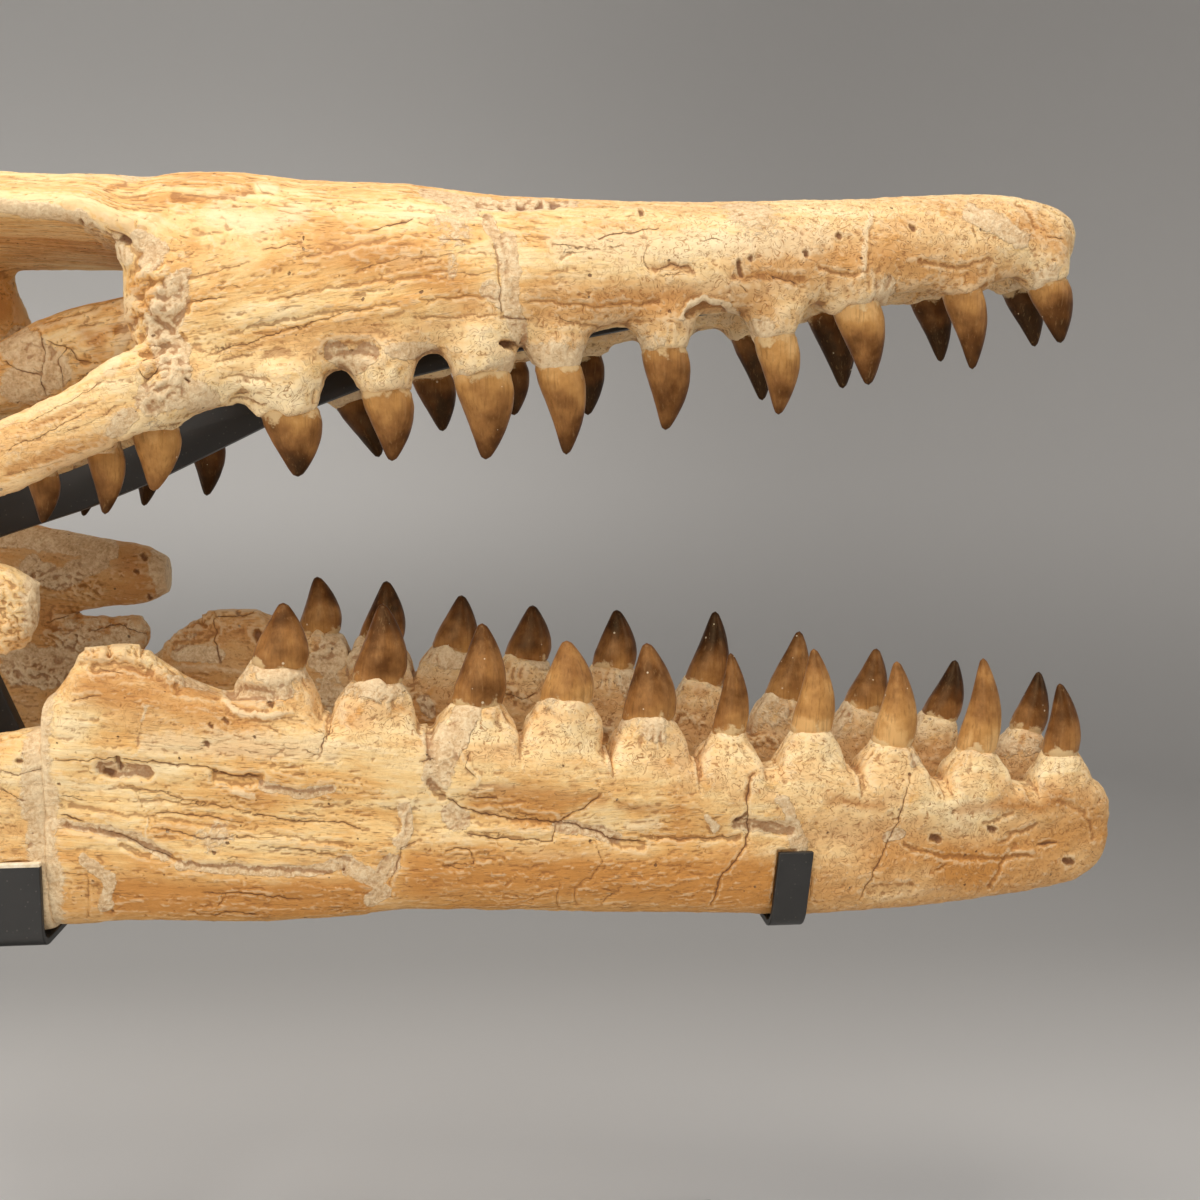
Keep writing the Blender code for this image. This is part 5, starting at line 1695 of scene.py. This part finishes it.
def crown_tree():
    """Geometry Nodes: one crown, standing on the origin with its tip up."""
    tree = new_tree("tooth_crown", CROWN_SIZES)
    add = functools.partial(add_node, tree)
    given = add("NodeGroupInput").node.outputs
    inputs = {"Vertices": CROWN_SIDES, "Side Segments": CROWN_RINGS, "Radius": 1, "Depth": 1}
    shape = add("GeometryNodeMeshCylinder", inputs, "Mesh", fill_type="TRIANGLE_FAN")
    x, y, z = add("ShaderNodeSeparateXYZ", (add("GeometryNodeInputPosition"),)).node.outputs
    whole = add(MATH, (given["Length"], given["Root"]), operation="ADD")
    climb = add(MATH, (z, 0.5), operation="ADD")
    climb = add(MATH, (climb, whole), operation="MULTIPLY")
    climb = add(MATH, (climb, given["Root"]), operation="SUBTRACT")
    share = add(MATH, (climb, given["Length"]), operation="DIVIDE")
    curve = add("ShaderNodeFloatCurve", {"Value": share})
    line = curve.node.mapping.curves[0]
    while len(line.points) < len(TAPER):
        line.points.new(0.5, 0.5)
    for point, (at, width) in zip(line.points, TAPER.items()):
        point.location = (at, width)
    curve.node.mapping.update()
    radius = add(MATH, (curve, given["Radius"]), operation="MULTIPLY")

    # Keels in front and behind, lumps all over, and a swollen ring just above the base
    angle = add(MATH, (y, x), operation="ARCTAN2")
    keel = add(MATH, (add(MATH, (angle,), operation="COSINE"),), operation="ABSOLUTE")
    keel = add(MATH, (keel, KEEL_SHARPNESS), operation="POWER")
    keel = add(MATH, (keel, given["Keel"]), operation="MULTIPLY")
    keel = add(MATH, (keel, share), operation="MULTIPLY")
    around = add("ShaderNodeCombineXYZ", (x, y, add(MATH, (z, 1.6), operation="MULTIPLY")))
    inputs = {"Vector": around, "W": given["Seed"], "Scale": 1.4, "Detail": 3.0}
    lumps = add(NOISE, inputs, noise_dimensions="4D")
    lumps = add(MATH, (lumps, 0.5), operation="SUBTRACT")
    lumps = add(MATH, (lumps, given["Unevenness"]), operation="MULTIPLY")
    off_ring = add(MATH, (share, RING_PLACE, -1.0), operation="MULTIPLY_ADD")
    ring = add(MATH, (off_ring, off_ring), operation="MULTIPLY")
    ring = add(MATH, (add(MATH, (ring, -1.0), operation="MULTIPLY"),), operation="EXPONENT")
    swell = 1.0
    for layer, rise in ((keel, 1.0), (lumps, 1.0), (ring, RING_RISE)):
        swell = add(MATH, (layer, rise, swell), operation="MULTIPLY_ADD")
    radius = add(MATH, (radius, swell), operation="MULTIPLY")

    bent = add(MATH, (share, 0.0), operation="MAXIMUM")
    bent = add(MATH, (add(MATH, (bent, math.pi), operation="MULTIPLY"),), operation="SINE")
    bow = add(MATH, (bent, given["Bow"]), operation="MULTIPLY")
    bow = add(MATH, (bow, given["Length"]), operation="MULTIPLY")
    new_x = add(MATH, (x, radius, bow), operation="MULTIPLY_ADD")
    new_y = add(MATH, (y, radius), operation="MULTIPLY")
    new_y = add(MATH, (new_y, given["Flatness"]), operation="MULTIPLY")
    target = add("ShaderNodeCombineXYZ", (new_x, new_y, climb))

    tone = add(MATH, (share, given["Fall"], given["Tone"]), operation="MULTIPLY_ADD")
    for name, value in (("height", share), ("tone", tone)):
        inputs = {"Geometry": shape, "Name": name, "Value": value}
        shape = add("GeometryNodeStoreNamedAttribute", inputs, data_type="FLOAT", domain="POINT")
    shape = add("GeometryNodeSetPosition", {"Geometry": shape, "Position": target})
    shape = add("GeometryNodeSetShadeSmooth", (shape,))
    end_tree(add, shape, given["Material"])
    return tree


CROWN = crown_tree()
print("crown tree:", len(CROWN.nodes), "nodes")

# %% [markdown]
# The tree's crown stands on the origin. Each one is turned so that its own axis runs from its base to its
# tip and its keels lie along the jaw, and only then moved to its place. Both go into the mesh, so that the
# object itself stays at the origin, where the material's pattern is measured from.

# %% Make the crowns
CROWN_SEED = 100  # of the first crown


def make_crown(node, seed):
    """One crown from its measured base and tip, in place of its solid."""
    base, tip, half = CROWNS[node]
    rng = np.random.default_rng(seed)
    obj = new_object(node + "_enamel", bpy.data.meshes.new(node + "_enamel"))
    row, _, side = node.split("_")[:3]
    at_base, darker = CROWN_TONES[row, side]
    values = {
        "Length": float(np.linalg.norm(tip - base)),
        "Radius": float(half) * CROWN_SWELL,
        "Root": CROWN_ROOT,
        "Flatness": CROWN_FLATNESS,
        "Bow": CROWN_BOW,
        "Keel": CROWN_KEEL,
        "Unevenness": CROWN_UNEVENNESS,
        "Tone": at_base + float(rng.uniform(*TONE_SPREAD)),
        "Fall": darker,
        "Seed": float(seed),
        "Material": ENAMEL,
    }
    mesh = run_tree(obj, CROWN, values)
    up = Vector(tip - base).normalized()
    across = up.cross(Vector((1, 0, 0))).normalized()
    along = across.cross(up)
    turn = Matrix((along, across, up)).transposed().to_4x4()
    mesh.transform(Matrix.Translation(base) @ turn)
    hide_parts(node)
    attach(obj, "root")
    return obj


for seed, node in enumerate(CROWNS, CROWN_SEED):
    made = make_crown(node, seed)
print("crowns:", len(CROWNS), "of", len(made.data.polygons), "faces each")

# %% [markdown]
# ## The armature
# A strap is one strip bent to a U, so its lower corners are round, inside and out. It is drawn as its own
# outline, widened to the strip's width. The bars, the post and the plate keep their shapes and only lose
# their sharp edges, which is what makes painted steel catch the light.

# %% Straps and bars
BEND_POINTS = 8
FLAT_ENOUGH = math.radians(1)  # between triangles that make one flat face
SHARP_EDGE = math.radians(40)
EDGE_ROUND = 0.7 * MM
EDGE_STRIP = 2.2 * MM  # the part of a leg's upper end that takes the painted highlight


def strap_outline(half_span, low, high):
    """A strap's section, from the top of one leg round to where it started."""
    outline = []
    for radius, inset in ((BEND_RADIUS, 0), (BEND_RADIUS - STRAP_THICK, STRAP_THICK)):
        side = half_span - inset
        floor = low + inset
        line = [(-side, high), (-side, high - EDGE_STRIP)]
        for centre, start in ((-side + radius, math.pi), (side - radius, math.pi * 1.5)):
            for step in range(BEND_POINTS + 1):
                angle = start + math.pi / 2 * step / BEND_POINTS
                line.append((centre + radius * math.cos(angle), floor + radius + radius * math.sin(angle)))
        line += [(side, high - EDGE_STRIP), (side, high)]
        outline += line if not outline else line[::-1]
    return outline


def finish_steel(obj, node):
    """Rounds a steel piece's edges and puts it in place of its solid."""
    bevel = obj.modifiers.new("edges", "BEVEL")
    bevel.width = EDGE_ROUND
    bevel.segments = 3
    bevel.limit_method = "ANGLE"
    bevel.angle_limit = SHARP_EDGE
    bevel.harden_normals = True
    obj.data.shade_smooth()
    applied(obj)
    obj.data.materials.clear()
    obj.data.materials.append(STEEL)
    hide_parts(node)
    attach(obj, "root")


def make_strap(node):
    """A strap from its outline, as wide as its solid and with its solid's lean."""
    low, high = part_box(node)
    lean = STRAP_LEAN.get(node, 0)
    width = (high[0] - low[0]) - lean * (high[2] - low[2])
    bm = bmesh.new()
    sides = []
    for edge in (low[0], low[0] + width):
        row = [(edge + lean * (z - low[2]), y, z) for y, z in strap_outline(high[1], low[2], high[2])]
        sides.append([bm.verts.new(place) for place in row])
    first, second = sides
    count = len(first)
    for i in range(count):
        j = (i + 1) % count
        bm.faces.new((first[i], first[j], second[j], second[i]))
    half = count // 2
    for row in sides:
        for i in range(half - 1):
            bm.faces.new((row[i], row[i + 1], row[count - 2 - i], row[count - 1 - i]))
    bmesh.ops.recalc_face_normals(bm, faces=bm.faces)
    obj = mesh_object(bm, node + "_painted")
    finish_steel(obj, node)
    obj.data.materials.append(STRAP_TOP_HIGHLIGHT)
    # The middle strap's upper end takes the painted highlight
    for face in obj.data.polygons:
        if node == "middle_strap" and face.center.z > high[2] - EDGE_STRIP:
            face.material_index = 1
    return obj


def make_bar(node):
    """A bar, post or plate with its solid's own shape."""
    bm = bmesh.new()
    bm.from_mesh(NODES[node].data)
    bmesh.ops.remove_doubles(bm, verts=bm.verts, dist=SAME_PLACE)
    bmesh.ops.dissolve_limit(bm, angle_limit=FLAT_ENOUGH, verts=bm.verts, edges=bm.edges)
    obj = mesh_object(bm, node + "_painted")
    finish_steel(obj, node)
    return obj


for node in (*STRAPS, "base_plate", "post", "jaw_bar", "strut", "palate_bar"):
    made = make_strap(node) if node in STRAPS else make_bar(node)
    print(node, len(made.data.polygons), "faces")
